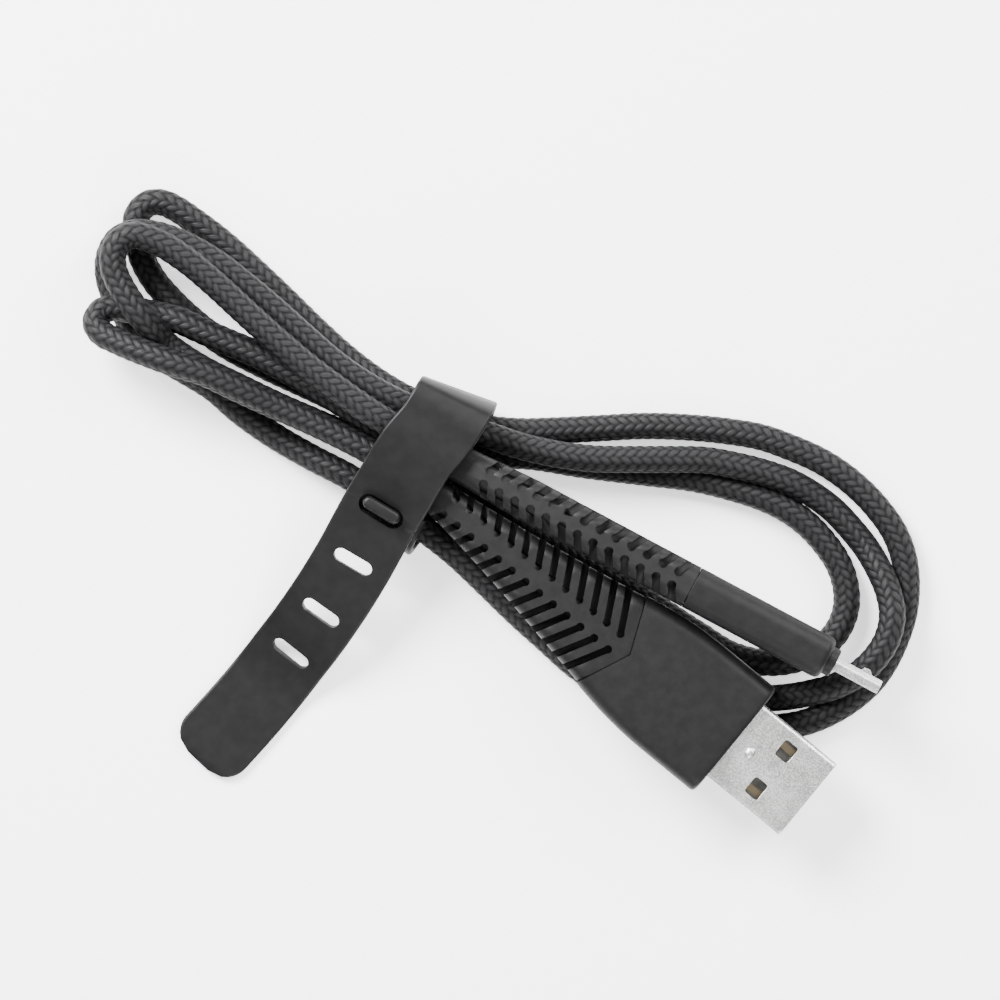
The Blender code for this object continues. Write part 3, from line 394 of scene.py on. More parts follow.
CORD_DIAMETER = 3.6 * MM
CORD_BORE = 1.9 * MM  # its radius, in both reliefs
ROUTE = (
    (-0.13, -2.6, 7.7), (-3.9, 0.1, 7.2), (-7.9, 2.5, 6.6), (-14, 5.6, 6.2), (-20, 8.3, 6.6),
    (-25, 10.6, 8.1), (-29.5, 12.7, 9.0), (-34, 14.1, 9.3), (-38, 15.6, 8.7), (-41.0, 16.9, 7.6),
    (-42.7, 17.8, 6.9), (-43.6, 19.3, 6.1), (-43.0, 20.6, 5.6), (-41.2, 21.2, 5.4), (-39, 20.9, 5.35),
    (-36, 20.4, 5.1),
    (-33, 19.6, 5.4), (-29.8, 18.2, 5.5), (-26.8, 16.9, 5.5), (-22.8, 15.2, 5.6), (-18, 12.7, 5.7),
    (-12, 9.0, 5.9), (-6.1, 5.3, 6.2),
    (-1.0, 1.8, 5.3), (3.0, -1.3, 3.3), (8, -5, 2.6), (14, -9, 1.8), (21, -13, 1.8), (28, -17, 1.8),
    (35, -21.5, 1.8), (39.5, -24.2, 1.8), (43.5, -25.2, 1.8), (47.5, -24.9, 1.8), (51, -23.4, 1.8),
    (53.3, -21.1, 1.8), (54.5, -18, 1.8), (54.4, -15, 1.8), (53.5, -12.3, 1.8), (51.8, -9.7, 1.8),
    (49.5, -7.2, 1.8), (46.8, -5.2, 1.8), (43.5, -3.6, 1.8), (39.5, -2.3, 1.8), (35, -1.2, 1.8),
    (28, -0.3, 1.8), (20, 0.7, 1.8), (13, 1.8, 2.3), (9, 2.0, 2.9), (5.6, 2.2, 3.0),
    (0, 4.6, 3.0), (-5.5, 6.2, 3.1), (-10, 8.2, 2.5), (-16, 11.0, 1.8), (-22, 13.8, 1.8),
    (-27, 16.5, 1.8), (-31, 19.5, 1.8), (-34, 22.3, 1.8), (-36.3, 25.0, 1.8), (-37.9, 28, 1.8),
    (-38.75, 31.5, 1.8), (-38.4, 33.6, 1.8), (-37.0, 35.0, 1.8), (-35.2, 35.1, 1.8), (-33.2, 34.2, 1.8),
    (-31, 32.7, 1.8), (-27.2, 29.8, 1.8), (-23.2, 26.2, 1.8), (-19.2, 22.4, 1.8), (-15, 18.3, 1.8),
    (-11, 14.7, 2.0), (-7, 11.7, 2.5), (-3.3, 9.5, 2.9),
    (2.2, 7.2, 3.0), (7.4, 5.5, 3.1), (12, 5.1, 2.8), (16, 5.2, 2.2), (22, 5.5, 1.8), (28, 5.8, 1.8),
    (34, 5.6, 1.8), (39, 5.1, 1.8), (43.5, 4.3, 1.8), (47.3, 2.95, 1.8), (51.1, 1.25, 1.8),
    (54.9, -1.3, 1.8), (58.6, -4.95, 1.8), (60.9, -8.3, 1.8), (62.05, -11.4, 1.8), (62.45, -15, 1.8),
    (62.1, -18.8, 1.8), (61.1, -22, 1.8), (59.7, -25, 1.8), (57.9, -27.6, 1.8), (55.5, -29.8, 1.8),
    (52.5, -31.7, 1.8), (49, -33.1, 1.8), (45.5, -33.7, 1.8), (41.5, -33.8, 1.8), (36, -33.1, 1.8),
    (30, -31.4, 1.8), (24, -28.8, 1.8), (19, -25.6, 1.8), (15.3, -22.3, 1.8), (11.3, -18.7, 1.8),
    (7.3, -14.8, 2.2), (3.3, -11.0, 2.9), (-1.3, -7.4, 3.0),
    (-6, -3.9, 3.0), (-10.1, -1.2, 3.1), (-16, 1.9, 2.3), (-20, 4.2, 1.8), (-25, 7.7, 1.8),
    (-28.6, 10.8, 1.8), (-32, 12.9, 1.8), (-35, 14.7, 1.8), (-37.5, 17, 1.8), (-39.5, 19.5, 1.8),
    (-41, 22, 1.8), (-42, 24.3, 1.9), (-42.3, 26.5, 2.5), (-41.8, 28.6, 3.9), (-40.5, 30.3, 5.1),
    (-38.5, 31.0, 5.5), (-36, 30.8, 5.5), (-32, 29.4, 5.5), (-28, 27.1, 5.5), (-24, 24.0, 5.6),
    (-20, 20.6, 5.7), (-16, 17, 5.9), (-12, 13.6, 6.1), (-8, 10.9, 6.3), (-3.9, 8.7, 6.4),
    (1.5, 6.5, 6.4), (6.9, 4.8, 6.3), (12, 3.1, 5.6), (16, 2.2, 5.4), (20, 1.6, 5.35), (28, 1.4, 5.1),
    (32, 1.4, 4.7), (36, 1.3, 4.2), (40, 0.6, 3.8), (44, -0.4, 3.3), (47.3, -1.6, 2.9),
    (50, -3.1, 2.2), (52.7, -5.1, 1.8), (55, -7.5, 1.8), (57, -10, 1.9), (58.7, -13, 3.1),
    (59.9, -16, 4.1), (60.3, -19.3, 5.1), (59.6, -22.1, 5.3), (58, -24.6, 5.3), (56, -26.5, 5.0),
    (53, -28.2, 4.1), (50, -29.1, 2.9), (46, -29.8, 1.9), (42.5, -29.9, 1.8), (38, -29.5, 1.8),
    (32, -27.7, 1.8), (26.5, -25.1, 1.8), (21.5, -21.9, 1.8), (17, -18.2, 1.8), (12.8, -14.5, 1.8),
    (8.6, -10.8, 2.3), (4.4, -7.3, 3.0), (0.7, -4.3, 3.0),
    (-3.6, -0.6, 3.0), (-7.6, 3.0, 3.0), (-14, 5.9, 2.5), (-20, 8.5, 3.0), (-25, 10.9, 4.4),
    (-30, 13.4, 5.3), (-33.4, 15.6, 5.3), (-34.9, 16.8, 6.1), (-36.2, 18.3, 7.8), (-37.6, 20.1, 8.9),
    (-39.1, 22.2, 9.1), (-40.3, 24.2, 9.0), (-41.1, 26.3, 9.0), (-41.1, 28.2, 9.0), (-40.2, 29.8, 9.0),
    (-38.6, 30.5, 9.0), (-36.5, 30.05, 9.0), (-32, 27.5, 9.0), (-28, 24.2, 9.0), (-24, 20.5, 9.1),
    (-20, 16.9, 9.2), (-16, 13.5, 9.4), (-12, 10.5, 9.6), (-8, 7.7, 9.9), (-5.4, 6.1, 9.9),
    (-1.5, 3.9, 9.4), (2.0, 1.87, 9.0),
)
BRAID_YARNS = 10  # each way round, over two and under two
BRAID_TURN = 13.4 * MM  # one turn of a yarn, along the cord
BRAID_RELIEF = 0.2 * MM
SIDES = 84
STEP = 0.22 * MM
SLEEVES = 4


def even_line(points, step):
    """The line's points at even spacing, with the arc length of each."""
    points = np.array([list(p) for p in points])
    lengths = np.concatenate([[0], np.cumsum(np.linalg.norm(np.diff(points, axis=0), axis=1))])
    wanted = np.linspace(0, lengths[-1], int(round(lengths[-1] / step)) + 1)
    return np.stack([np.interp(wanted, lengths, points[:, i]) for i in range(3)], axis=1), wanted


def carried_frames(line):
    """Two directions across the line at each point, carried along it without twist."""
    forward = np.gradient(line, axis=0)
    forward /= np.linalg.norm(forward, axis=1)[:, None]
    side = np.empty_like(line)
    side[0] = np.cross(forward[0], (0, 0, 1))
    side[0] /= np.linalg.norm(side[0])
    for i in range(1, len(line)):
        carried = side[i - 1] - forward[i] * (side[i - 1] @ forward[i])
        side[i] = carried / np.linalg.norm(carried)
    return side, np.cross(side, forward)


def weave(around, along):
    """Height of the braid from 0 to 1, and the place across the upper yarn, at a share round the cord."""
    a = BRAID_YARNS * (around - along / BRAID_TURN)
    b = BRAID_YARNS * (around + along / BRAID_TURN)
    across_a, across_b = a - np.floor(a), b - np.floor(b)
    rise_a = np.cos(np.pi / 2 * (b + np.floor(a) - 1))
    rise_b = np.cos(np.pi / 2 * (a + np.floor(b) - 3))
    height_a = np.sqrt(np.abs(np.sin(np.pi * across_a))) * 0.55 + 0.45 * rise_a
    height_b = np.sqrt(np.abs(np.sin(np.pi * across_b))) * 0.55 + 0.45 * rise_b
    return np.clip(np.maximum(height_a, height_b), 0, 1), np.where(height_a > height_b, across_a, across_b)


def tube_mesh(name, line, side, up, radius, caps=False):
    """A round mesh along a line. radius is one number or an array of a radius per ring and side."""
    rings, sides = len(line), radius.shape[1]
    turn = 2 * np.pi * np.arange(sides) / sides
    out = side[:, None] * np.cos(turn)[None, :, None] + up[:, None] * np.sin(turn)[None, :, None]
    points = line[:, None] + out * radius[:, :, None]
    i, j = np.meshgrid(np.arange(rings - 1), np.arange(sides), indexing="ij")
    k = (j + 1) % sides
    quads = np.stack([i * sides + j, i * sides + k, (i + 1) * sides + k, (i + 1) * sides + j], axis=-1)
    faces = quads.reshape(-1, 4).tolist()
    if caps:
        faces.append(list(range(sides))[::-1])
        faces.append([(rings - 1) * sides + n for n in range(sides)])
    mesh = bpy.data.meshes.new(name)
    mesh.from_pydata(points.reshape(-1, 3).tolist(), [], faces)
    mesh.update()
    return mesh


def make_cord():
    dense = smooth_line([Vector(p) * MM for p in ROUTE])
    for place in dense:
        place.z = max(place.z, CORD_DIAMETER / 2)
    line, lengths = even_line(dense, STEP)
    side, up = carried_frames(line)
    core_step = 5
    core_line = line[::core_step]
    core_radius = np.full((len(core_line), 24), CORD_DIAMETER / 2 - BRAID_RELIEF - 0.06 * MM)
    core_mesh = tube_mesh("cord_core", core_line, side[::core_step], up[::core_step], core_radius, caps=True)
    core = finish_piece("cord_core", core_mesh, BLACK, "bundle", ["cord"])

    around = np.arange(SIDES) / SIDES
    height, across = weave(around[None, :] + 0 * lengths[:, None], lengths[:, None] + 0 * around[None, :])
    radius = CORD_DIAMETER / 2 - BRAID_RELIEF * (1 - height)
    cuts = np.linspace(0, len(line) - 1, SLEEVES + 1).round().astype(int)
    for number, (start, end) in enumerate(zip(cuts, cuts[1:]), 1):
        part = slice(start, end + 1)
        mesh = tube_mesh(f"cord_braid_{number}", line[part], side[part], up[part], radius[part])
        for name, values in (("weave_height", height), ("yarn_across", across)):
            layer = mesh.attributes.new(name, "FLOAT", "POINT")
            layer.data.foreach_set("value", values[part].astype(np.float32).ravel())
        sleeve = finish_piece(f"cord_braid_{number}", mesh, BRAID, "bundle", smooth_degrees=180)


# USB-A plug

USB_A_REAR = Vector((0.134, -2.798, 7.7)) * MM
USB_A_TURN = Matrix.Rotation(math.radians(-39.3), 4, "Z")
RELIEF_END = 51.0 * MM
USB_A = Matrix.Translation(USB_A_REAR) @ USB_A_TURN @ Matrix.Translation((RELIEF_END, 0, 0))
HOUSING_LENGTH = 21.0 * MM
HOUSING_NOTCH = 3.1 * MM
SHELL_WIDTH = 12.0 * MM
SHELL_HEIGHT = 4.5 * MM
SHELL_WALL = 0.3 * MM
SHELL_REACH = 12.2 * MM
SHELL_ROOT = 6.5 * MM
RELIEF_PITCH = 2.3 * MM
RELIEF_ROUND = 1.8 * MM
HOUSING_ROUND = 1.9 * MM
HOUSING_SHELL_GAP = 0.12 * MM
NOTCH_SPREAD = 1.3 * 8.6 * MM
SLOT_LEAN = math.radians(28)
USB_A_SLOTS = {
    "first": -20.3 * MM, "count": 13, "inner": 0.75 * MM, "through": "Z", "lean": SLOT_LEAN,
    "radius": 0.55 * MM, "narrow": 0.5 * MM, "depth": 1.6 * MM, "sink": 0.22,
}
WINDOW_X = 6.05 * MM
WINDOW_Y = 3.1 * MM
WINDOW_CORE = (0.62 * MM, 0.83 * MM)  # half sizes inside the corner radius
WINDOW_CORNER = 0.42 * MM
WINDOW_TURNS = ((1, 1), (-1, 1), (-1, -1), (1, -1))
DIMPLE_X = 2.5 * MM
DIMPLE_HALF = (0.65 * MM, 0.8 * MM)
DIMPLE_HEIGHT = 0.22 * MM
DIMPLE_FOOT = -0.03 * MM
DIMPLE_RINGS = 6
DIMPLE_SIDES = 32


def usb_a_half_size(x):
    if x > -HOUSING_LENGTH:
        share = min(1.0, (x + HOUSING_LENGTH) / (HOUSING_LENGTH - 8.5 * MM))
        share = 1 - (1 - share) ** 2
        return (7.2 + 1.4 * share) * MM, (3.5 + 0.3 * share) * MM
    share = max(0.0, (x + RELIEF_END) / (RELIEF_END - HOUSING_LENGTH))
    return (2.3 + 4.7 * share**1.25) * MM, (2.3 + 1.0 * share) * MM


def v_outline(tip, depth, far, half):
    """A V with its tip on the X axis, closed by a straight side at far."""
    return [(tip, 0), (tip - depth, half), (far, half), (far, -half), (tip - depth, -half)]


def keyhole(length, round_radius, narrow):
    """A slot's outline: round at its inner end on the origin, a little narrower towards its open end at +Y."""
    outline = [(-narrow, length), (narrow, length)]
    for step in range(11):
        turn = math.radians(-35 + 250 * step / 10)
        outline.append((-round_radius * math.cos(turn + math.pi), -round_radius * math.sin(turn)))
    return outline


def slot_tools(half_size, first, count, inner, through, lean, radius, narrow, depth, sink):
    """The leaning slots of a relief, as one cutter. A positive lean takes their open ends back. sink is how fast
    their floors drop towards the open end."""
    bm = bmesh.new()
    for number in range(count):
        x = first - number * RELIEF_PITCH
        half_width, half_height = half_size(x - 1 * MM)
        if through == "Y":
            half_width, half_height = half_height, half_width
        for side in (-1, 1):
            for face in (-1, 1):
                reach = (half_width + 1.5 * MM - inner) / math.cos(lean)
                low = half_height - depth
                tool = prism(keyhole(reach, radius, narrow), low, half_height + 2 * MM)
                for corner in tool.verts:
                    if corner.co.z < low + 0.01 * MM:
                        corner.co.z = max(low - sink * max(corner.co.y, 0), min(low, 0.15 * MM))
                matrix = Matrix.Rotation(lean, 4, "Z")
                matrix = Matrix.Diagonal((1, side, face, 1)) @ Matrix.Translation((x, inner + radius, 0)) @ matrix
                if through == "Y":
                    matrix = Matrix(((1, 0, 0, 0), (0, 0, 1, 0), (0, -1, 0, 0), (0, 0, 0, 1))) @ matrix
                join_into(bm, tool, matrix)
    return bm


def make_usb_a_body():
    spread = NOTCH_SPREAD
    depth = HOUSING_NOTCH * spread / (7.2 * MM)
    tip = -HOUSING_LENGTH + HOUSING_NOTCH
    bm = bmesh.new()
    sections = []
    for x, inset in ((0, 0.55), (-0.08, 0.28), (-0.27, 0.08), (-0.55, 0)):
        half_width, half_height = usb_a_half_size(x * MM)
        sections.append(rounded_section(x * MM, half_width - inset * MM, half_height - inset * MM, HOUSING_ROUND))
    for step in range(1, 19):
        x = -HOUSING_LENGTH * step / 18 + 1e-6
        half_width, half_height = usb_a_half_size(x)
        sections.append(rounded_section(x, half_width, half_height, HOUSING_ROUND))
    loft(bm, sections)
    notch = prism(v_outline(tip + 0.3 * MM, depth, -HOUSING_LENGTH - 9 * MM, spread), -9 * MM, 9 * MM)
    bore = bmesh.new()
    room = Vector((1 * MM, SHELL_WIDTH / 2 + HOUSING_SHELL_GAP, SHELL_HEIGHT / 2 + HOUSING_SHELL_GAP))
    add_box(bore, (-HOUSING_LENGTH - 1 * MM, -room.y, -room.z), room)
    mesh = carve(bm, [notch, bore])
    finish_piece("usb_a_housing_skin", mesh, TPE, "usb_a", ["usb_a_housing"], USB_A)

    bm = bmesh.new()
    sections = []
    for step in range(25):
        x = -RELIEF_END + (RELIEF_END - HOUSING_LENGTH) * step / 24 - 1e-6
        half_width, half_height = usb_a_half_size(x)
        inset = 0.25 * MM if step == 0 else 0
        sections.append(rounded_section(x, half_width - inset, half_height - inset, RELIEF_ROUND))
    sections.append([point + Vector((HOUSING_NOTCH + 0.3 * MM, 0, 0)) for point in sections[-1]])
    loft(bm, sections)
    point = prism(v_outline(tip + 0.2 * MM, depth, 9 * MM, spread), -9 * MM, 9 * MM)
    mesh = carve(bm, [point, cord_bore(-35 * MM), slot_tools(usb_a_half_size, **USB_A_SLOTS)], 0.1 * MM, 2, 30)
    finish_piece("usb_a_relief_ribs", mesh, TPE, "usb_a", ["usb_a_relief"], USB_A)


def make_usb_a_shell():
    def outer(x, grow):
        half = (SHELL_WIDTH / 2 + grow, SHELL_HEIGHT / 2 + grow)
        return rounded_section(x, *half, max(0.62 * MM + grow, 0.1 * MM), 6)

    bm = bmesh.new()
    inside = 0.04 * MM - SHELL_WALL
    sections = [outer(-SHELL_ROOT, 0)]
    sections += [outer(SHELL_REACH - (0.32 + 2.0 * (2 - k)) * MM, 0) for k in range(3)]
    sections += [outer(SHELL_REACH - back * MM, grow * MM) for back, grow in
                 ((0.18, 0.0), (0.07, -0.05), (0.0, -0.12), (0.03, -0.21))]
    sections += [outer(SHELL_REACH - back * MM, inside) for back in (0.14, 0.5)]
    sections.append(outer(-SHELL_ROOT, -SHELL_WALL))
    loft(bm, sections, hollow=True)
    windows = bmesh.new()
    for side in (-1, 1):
        outline = []
        for corner, (sx, sy) in enumerate(WINDOW_TURNS):
            for step in range(5):
                turn = math.radians(90) * (corner + step / 4)
                outline.append((WINDOW_X + sx * WINDOW_CORE[0] + WINDOW_CORNER * math.cos(turn),
                                side * WINDOW_Y + sy * WINDOW_CORE[1] + WINDOW_CORNER * math.sin(turn)))
        join_into(windows, prism(outline, -6 * MM, 6 * MM))
    mesh = carve(bm, [windows], 0.05 * MM, 2, 50)
    finish_piece("usb_a_shell_sheet", mesh, NICKEL, "usb_a", ["usb_a_shell"], USB_A)

    bm = bmesh.new()
    rings = []
    for ring in range(1, DIMPLE_RINGS):
        share = ring / (DIMPLE_RINGS - 1)
        height = DIMPLE_HEIGHT * (1 - share**2) ** 0.8 if share < 1 else DIMPLE_FOOT
        turns = [2 * math.pi * step / DIMPLE_SIDES for step in range(DIMPLE_SIDES)]
        rings.append([bm.verts.new((DIMPLE_X + DIMPLE_HALF[0] * share * math.cos(turn),
                                    DIMPLE_HALF[1] * share * math.sin(turn), SHELL_HEIGHT / 2 + height))
                      for turn in turns])
    for near, far in zip(rings, rings[1:]):
        for step in range(DIMPLE_SIDES):
            after = (step + 1) % DIMPLE_SIDES
            bm.faces.new((near[step], near[after], far[after], far[step]))
    bm.faces.new(rings[0])
    piece("usb_a_shell_dimple", bm, NICKEL, "usb_a", place=USB_A, smooth_degrees=60)


# Micro plug

MICRO_ZERO = Vector((8.0, -1.35, 9.2)) * MM
MICRO_LIE = Matrix.Rotation(math.radians(-28.1), 4, "Z") @ Matrix.Rotation(math.radians(-1.8), 4, "Y")
MICRO = Matrix.Translation(MICRO_ZERO) @ MICRO_LIE @ Matrix.Rotation(math.radians(90), 4, "X")
MICRO_RELIEF_START = -6.5 * MM
MICRO_RELIEF_END = 29.4 * MM
MICRO_HOUSING_END = 49.3 * MM
MICRO_NECK = 1.1 * MM
MICRO_HOUSING_ROUND = 2.1 * MM
MICRO_RELIEF_ROUND = 1.9 * MM
MICRO_SLOTS = {
    "first": 27.0 * MM, "count": 13, "inner": 0.35 * MM, "through": "Y", "lean": -SLOT_LEAN,
    "radius": 0.6 * MM, "narrow": 0.58 * MM, "depth": 1.9 * MM, "sink": 0.4,
}
MICRO_SHELL_HALF = (3.425 * MM, 0.9 * MM)
MICRO_SHELL_BEVEL = 0.55 * MM
LATCH_Y = 2.1 * MM
LATCH_Z = -0.775 * MM
LATCH_HALF_WIDTH = 0.375 * MM
LATCH_WALL = 0.125
LATCH_PROFILE = (
    (0, -LATCH_WALL), (3.7, -LATCH_WALL), (3.95, -LATCH_WALL - 0.08), (4.15, -LATCH_WALL - 0.38),
    (4.35, -LATCH_WALL - 0.52), (4.6, -LATCH_WALL - 0.55), (4.8, -LATCH_WALL - 0.5), (4.98, -LATCH_WALL - 0.33),
    (5.2, -LATCH_WALL - 0.05), (5.34, -LATCH_WALL), (5.34, LATCH_WALL), (0, LATCH_WALL),
)


def micro_half_size(x):
    if x > MICRO_RELIEF_END:
        return 5.25 * MM, 2.85 * MM
    share = max(0.0, (x - MICRO_RELIEF_START) / (MICRO_RELIEF_END - MICRO_RELIEF_START))
    return (2.3 + 2.95 * share) * MM, (2.3 + 0.55 * min(1.0, share * 3)) * MM


def make_micro_body():
    end = MICRO_HOUSING_END
    bm = bmesh.new()
    sections = []
    first = MICRO_RELIEF_END + 0.06 * MM
    stations = [(first + (end - first - 1 * MM) * k / 8, 0.0) for k in range(9)]
    stations += [(end - 0.6 * MM, 0.05 * MM), (end - 0.28 * MM, 0.2 * MM), (end - 0.08 * MM, 0.42 * MM),
                 (end, 0.7 * MM), (end + 0.02 * MM, 0.95 * MM), (end + MICRO_NECK - 0.2 * MM, 0.95 * MM),
                 (end + MICRO_NECK - 0.06 * MM, 1.0 * MM), (end + MICRO_NECK, 1.15 * MM)]
    for x, inset in stations:
        half_width, half_height = micro_half_size(max(x, MICRO_RELIEF_END + 1e-6))
        sections.append(rounded_section(x, half_width - inset, half_height - inset,
                                        MICRO_HOUSING_ROUND - inset * 0.4))
    loft(bm, sections)
    socket = bmesh.new()
    add_box(socket, (end - 5.1 * MM, -3.53 * MM, -1.0 * MM), (end + 3 * MM, 3.53 * MM, 1.0 * MM))
    mesh = carve(bm, [socket], 0.12 * MM, 3, 35)
    finish_piece("micro_housing_skin", mesh, TPE, "micro", ["micro_housing"], MICRO)

    bm = bmesh.new()
    sections = []
    for step in range(25):
        x = MICRO_RELIEF_START + (MICRO_RELIEF_END - MICRO_RELIEF_START) * step / 24
        half_width, half_height = micro_half_size(x)
        inset = 0.25 * MM if step == 0 else 0
        sections.append(rounded_section(x, half_width - inset, half_height - inset, MICRO_RELIEF_ROUND))
    loft(bm, sections)
    mesh = carve(bm, [cord_bore(11.5 * MM), slot_tools(micro_half_size, **MICRO_SLOTS)], 0.1 * MM, 2, 30)
    finish_piece("micro_relief_ribs", mesh, TPE, "micro", ["micro_relief"], MICRO)


def make_micro_shell():
    start = MICRO_HOUSING_END - 5.0 * MM
    end = MICRO_HOUSING_END + MICRO_NECK + 6.5 * MM

    def section(x, inset):
        wide, low = MICRO_SHELL_HALF[0] - inset, MICRO_SHELL_HALF[1] - inset
        bevel = MICRO_SHELL_BEVEL
        slope = bevel * 1.6 - inset * 0.4
        corners = [(wide, low), (-wide, low), (-wide, -low + bevel), (-wide + slope, -low), (wide - slope, -low),
                   (wide, -low + bevel)]
        ring = []
        radius = max(0.28 * MM - inset * 0.6, 0.05 * MM)
        for i, corner in enumerate(corners):
            here = Vector(corner)
            before = (Vector(corners[i - 1]) - here).normalized() * radius
            after = (Vector(corners[(i + 1) % 6]) - here).normalized() * radius
            for t in (0, 0.25, 0.5, 0.75, 1):
                near = here + before
                far = here + after
                point = (1 - t) ** 2 * near + 2 * t * (1 - t) * here + t**2 * far
                ring.append(Vector((x, point.x, point.y)))
        return ring

    bm = bmesh.new()
    stations = [(start, 0), (end - 0.2 * MM, 0), (end - 0.06 * MM, 0.04 * MM), (end, 0.12 * MM),
                (end - 0.06 * MM, 0.21 * MM), (end - 0.2 * MM, 0.25 * MM), (start, 0.25 * MM)]
    loft(bm, [section(x, inset) for x, inset in stations], hollow=True)
    tools = bmesh.new()
    latch_x = end - 2.4 * MM
    for side in (-1, 1):
        y = side * LATCH_Y
        add_box(tools, (latch_x - 4.6 * MM, y - 0.475 * MM, -1.8 * MM), (latch_x + 1.2 * MM, y + 0.475 * MM, 0))
    seam = bmesh.new()
    add_box(seam, (start - 1 * MM, -0.04 * MM, 0), (end + 1 * MM, 0.04 * MM, 1.5 * MM))
    mesh = carve(bm, [tools, seam], 0.03 * MM, 2, 50)
    finish_piece("micro_shell_sheet", mesh, NICKEL, "micro", ["micro_shell"], MICRO)

    for side, name in ((-1, "left"), (1, "right")):
        outline = [(x * MM, z * MM) for x, z in LATCH_PROFILE]
        bm = prism(outline, -LATCH_HALF_WIDTH, LATCH_HALF_WIDTH)
        bm.transform(Matrix(((1, 0, 0, 0), (0, 0, 1, 0), (0, 1, 0, 0), (0, 0, 0, 1))))
        mesh = carve(bm, [], 0.06 * MM, 2, 35)
        place = MICRO @ Matrix.Translation((latch_x - 4.5 * MM, side * LATCH_Y, LATCH_Z))
        node = "micro_latch_" + name
        finish_piece(node + "_spring", mesh, NICKEL, node, [node], place)


# Tie

TIE_WRAP_LINE = (
    (-4.9, -3.9, 7.4, -34), (-6.2, -6.2, 7.3, -34), (-6.76, -7.4, 6.2, -34), (-6.84, -7.8, 4.3, -34),
    (-6.5, -7.55, 2.0, -34), (-5.7, -6.5, 0.62, -34), (-4.6, -5.1, 0.5, -33), (-3.0, -2.8, 0.5, -32),
    (-1.2, -0.5, 0.5, -30), (0.4, 2.3, 0.5, -28), (1.8, 5.2, 0.5, -25), (2.9, 7.8, 0.5, -22),
    (3.5, 9.5, 1.4, -20), (3.7, 10.0, 3.6, -20), (3.7, 10.0, 6.5, -20), (3.7, 10.0, 9.6, -20),
    (3.5, 9.6, 11.4, -21), (3.15, 8.95, 12.45, -22), (2.62, 7.98, 12.85, -23),
)
TIE_TOP_LINE = (
    (1.0, 5.4, 13.0, -27), (-1.6, 2.3, 12.9, -31), (-3.6, -0.9, 11.9, -33), (-5.2, -3.5, 10.4, -34),
    (-6.6, -5.8, 9.3, -35), (-8.05, -8.4, 8.55, -35), (-9.7, -11.4, 7.7, -35), (-12.0, -15.2, 6.6, -36),
    (-14.2, -18.5, 5.3, -37), (-16.3, -21.4, 3.8, -38), (-18.5, -24.2, 1.9, -39), (-21.0, -27.4, 0.62, -40),
    (-24.0, -31.0, 0.5, -40), (-27.4, -34.8, 0.5, -42), (-30.6, -38.2, 0.6, -44),
)
TIE_WIDTH = 10.5 * MM
TIE_THICKNESS = 1.0 * MM
TIE_STEPS = 8
TIE_EDGE = 0.32 * MM
TIE_TIP_CORNER = 3.5 * MM
TIE_SLOTS = ((-9.95, -11.9), (-14.1, -18.4), (-18.3, -24.0))
TIE_SLOT = (5.5 * MM, 1.9 * MM)
BUTTON_PLACE = (-6.35, -5.35)
BUTTON_HOLE = (6.4 * MM, 2.8 * MM)
BUTTON_FOOT = 7.2 * MM


def tie_frames(line):
    """Places along the tie with the directions of its length, width and thickness."""
    middle = smooth_line([Vector(p[:3]) * MM for p in line], TIE_STEPS)
    for place in middle:
        place.z = max(place.z, TIE_THICKNESS / 2)
    angles = smooth_line([Vector((p[3], i, 0)) for i, p in enumerate(line)], TIE_STEPS)
    frames = []
    for i, place in enumerate(middle):
        forward = (middle[min(i + 1, len(middle) - 1)] - middle[max(i - 1, 0)]).normalized()
        turn = math.radians(angles[i].x)
        width = Vector((math.cos(turn), math.sin(turn), 0))
        width = (width - width.dot(forward) * forward).normalized()
        frames.append((place, forward, width, width.cross(forward)))
    return frames


def strap(frames, round_start=False, round_end=False):
    """A strap with soft edges along the frames, as a closed bmesh."""
    bm = bmesh.new()
    sections = []
    total = sum((b[0] - a[0]).length for a, b in zip(frames, frames[1:]))
    travelled = 0.0
    corner = TIE_TIP_CORNER
    nose = TIE_THICKNESS / 2
    edge = TIE_EDGE
    for i, (place, _, width, thick) in enumerate(frames):
        if i:
            travelled += (place - frames[i - 1][0]).length
        half = TIE_WIDTH / 2
        thin = 1.0
        left = total - travelled
        if round_end and left < corner:
            half -= corner - math.sqrt(max(corner**2 - (corner - left) ** 2, 0))
        for rounded, gone in ((round_end, left), (round_start, travelled)):
            if rounded and gone < nose:
                thin = min(thin, math.sqrt(max(1 - (1 - gone / nose) ** 2, 0.02)))
        ring = []
        for side_w, side_t, start in ((1, 1, 0), (-1, 1, 1), (-1, -1, 2), (1, -1, 3)):
            for step in range(4):
                turn = math.radians(90) * (start + step / 3)
                across = side_w * (half - edge) + edge * math.cos(turn)
                out = side_t * (TIE_THICKNESS / 2 - edge) + edge * math.sin(turn)
                ring.append(place + width * across + thick * out * thin)
        sections.append(ring)
    loft(bm, sections)
    return bm


def stadium(length, breadth, steps=10):
    straight = (length - breadth) / 2
    outline = []
    for end in (1, -1):
        for step in range(steps + 1):
            turn = math.pi * step / steps - math.pi / 2 + (0 if end > 0 else math.pi)
            outline.append((end * straight + breadth / 2 * math.cos(turn), breadth / 2 * math.sin(turn)))
    return outline


def slot_tool(frames, place, length, breadth):
    """A cutter for a slot in the strap near a place, with the frame it stands on."""
    target = Vector(place) * MM
    centre, forward, width, thick = min(frames, key=lambda f: (f[0].xy - target).length)
    tool = prism(stadium(length, breadth), -3 * MM, 3 * MM)
    turn = Matrix((width, forward, thick)).transposed().to_4x4()
    tool.transform(Matrix.Translation(centre) @ turn)
    return tool, centre, forward


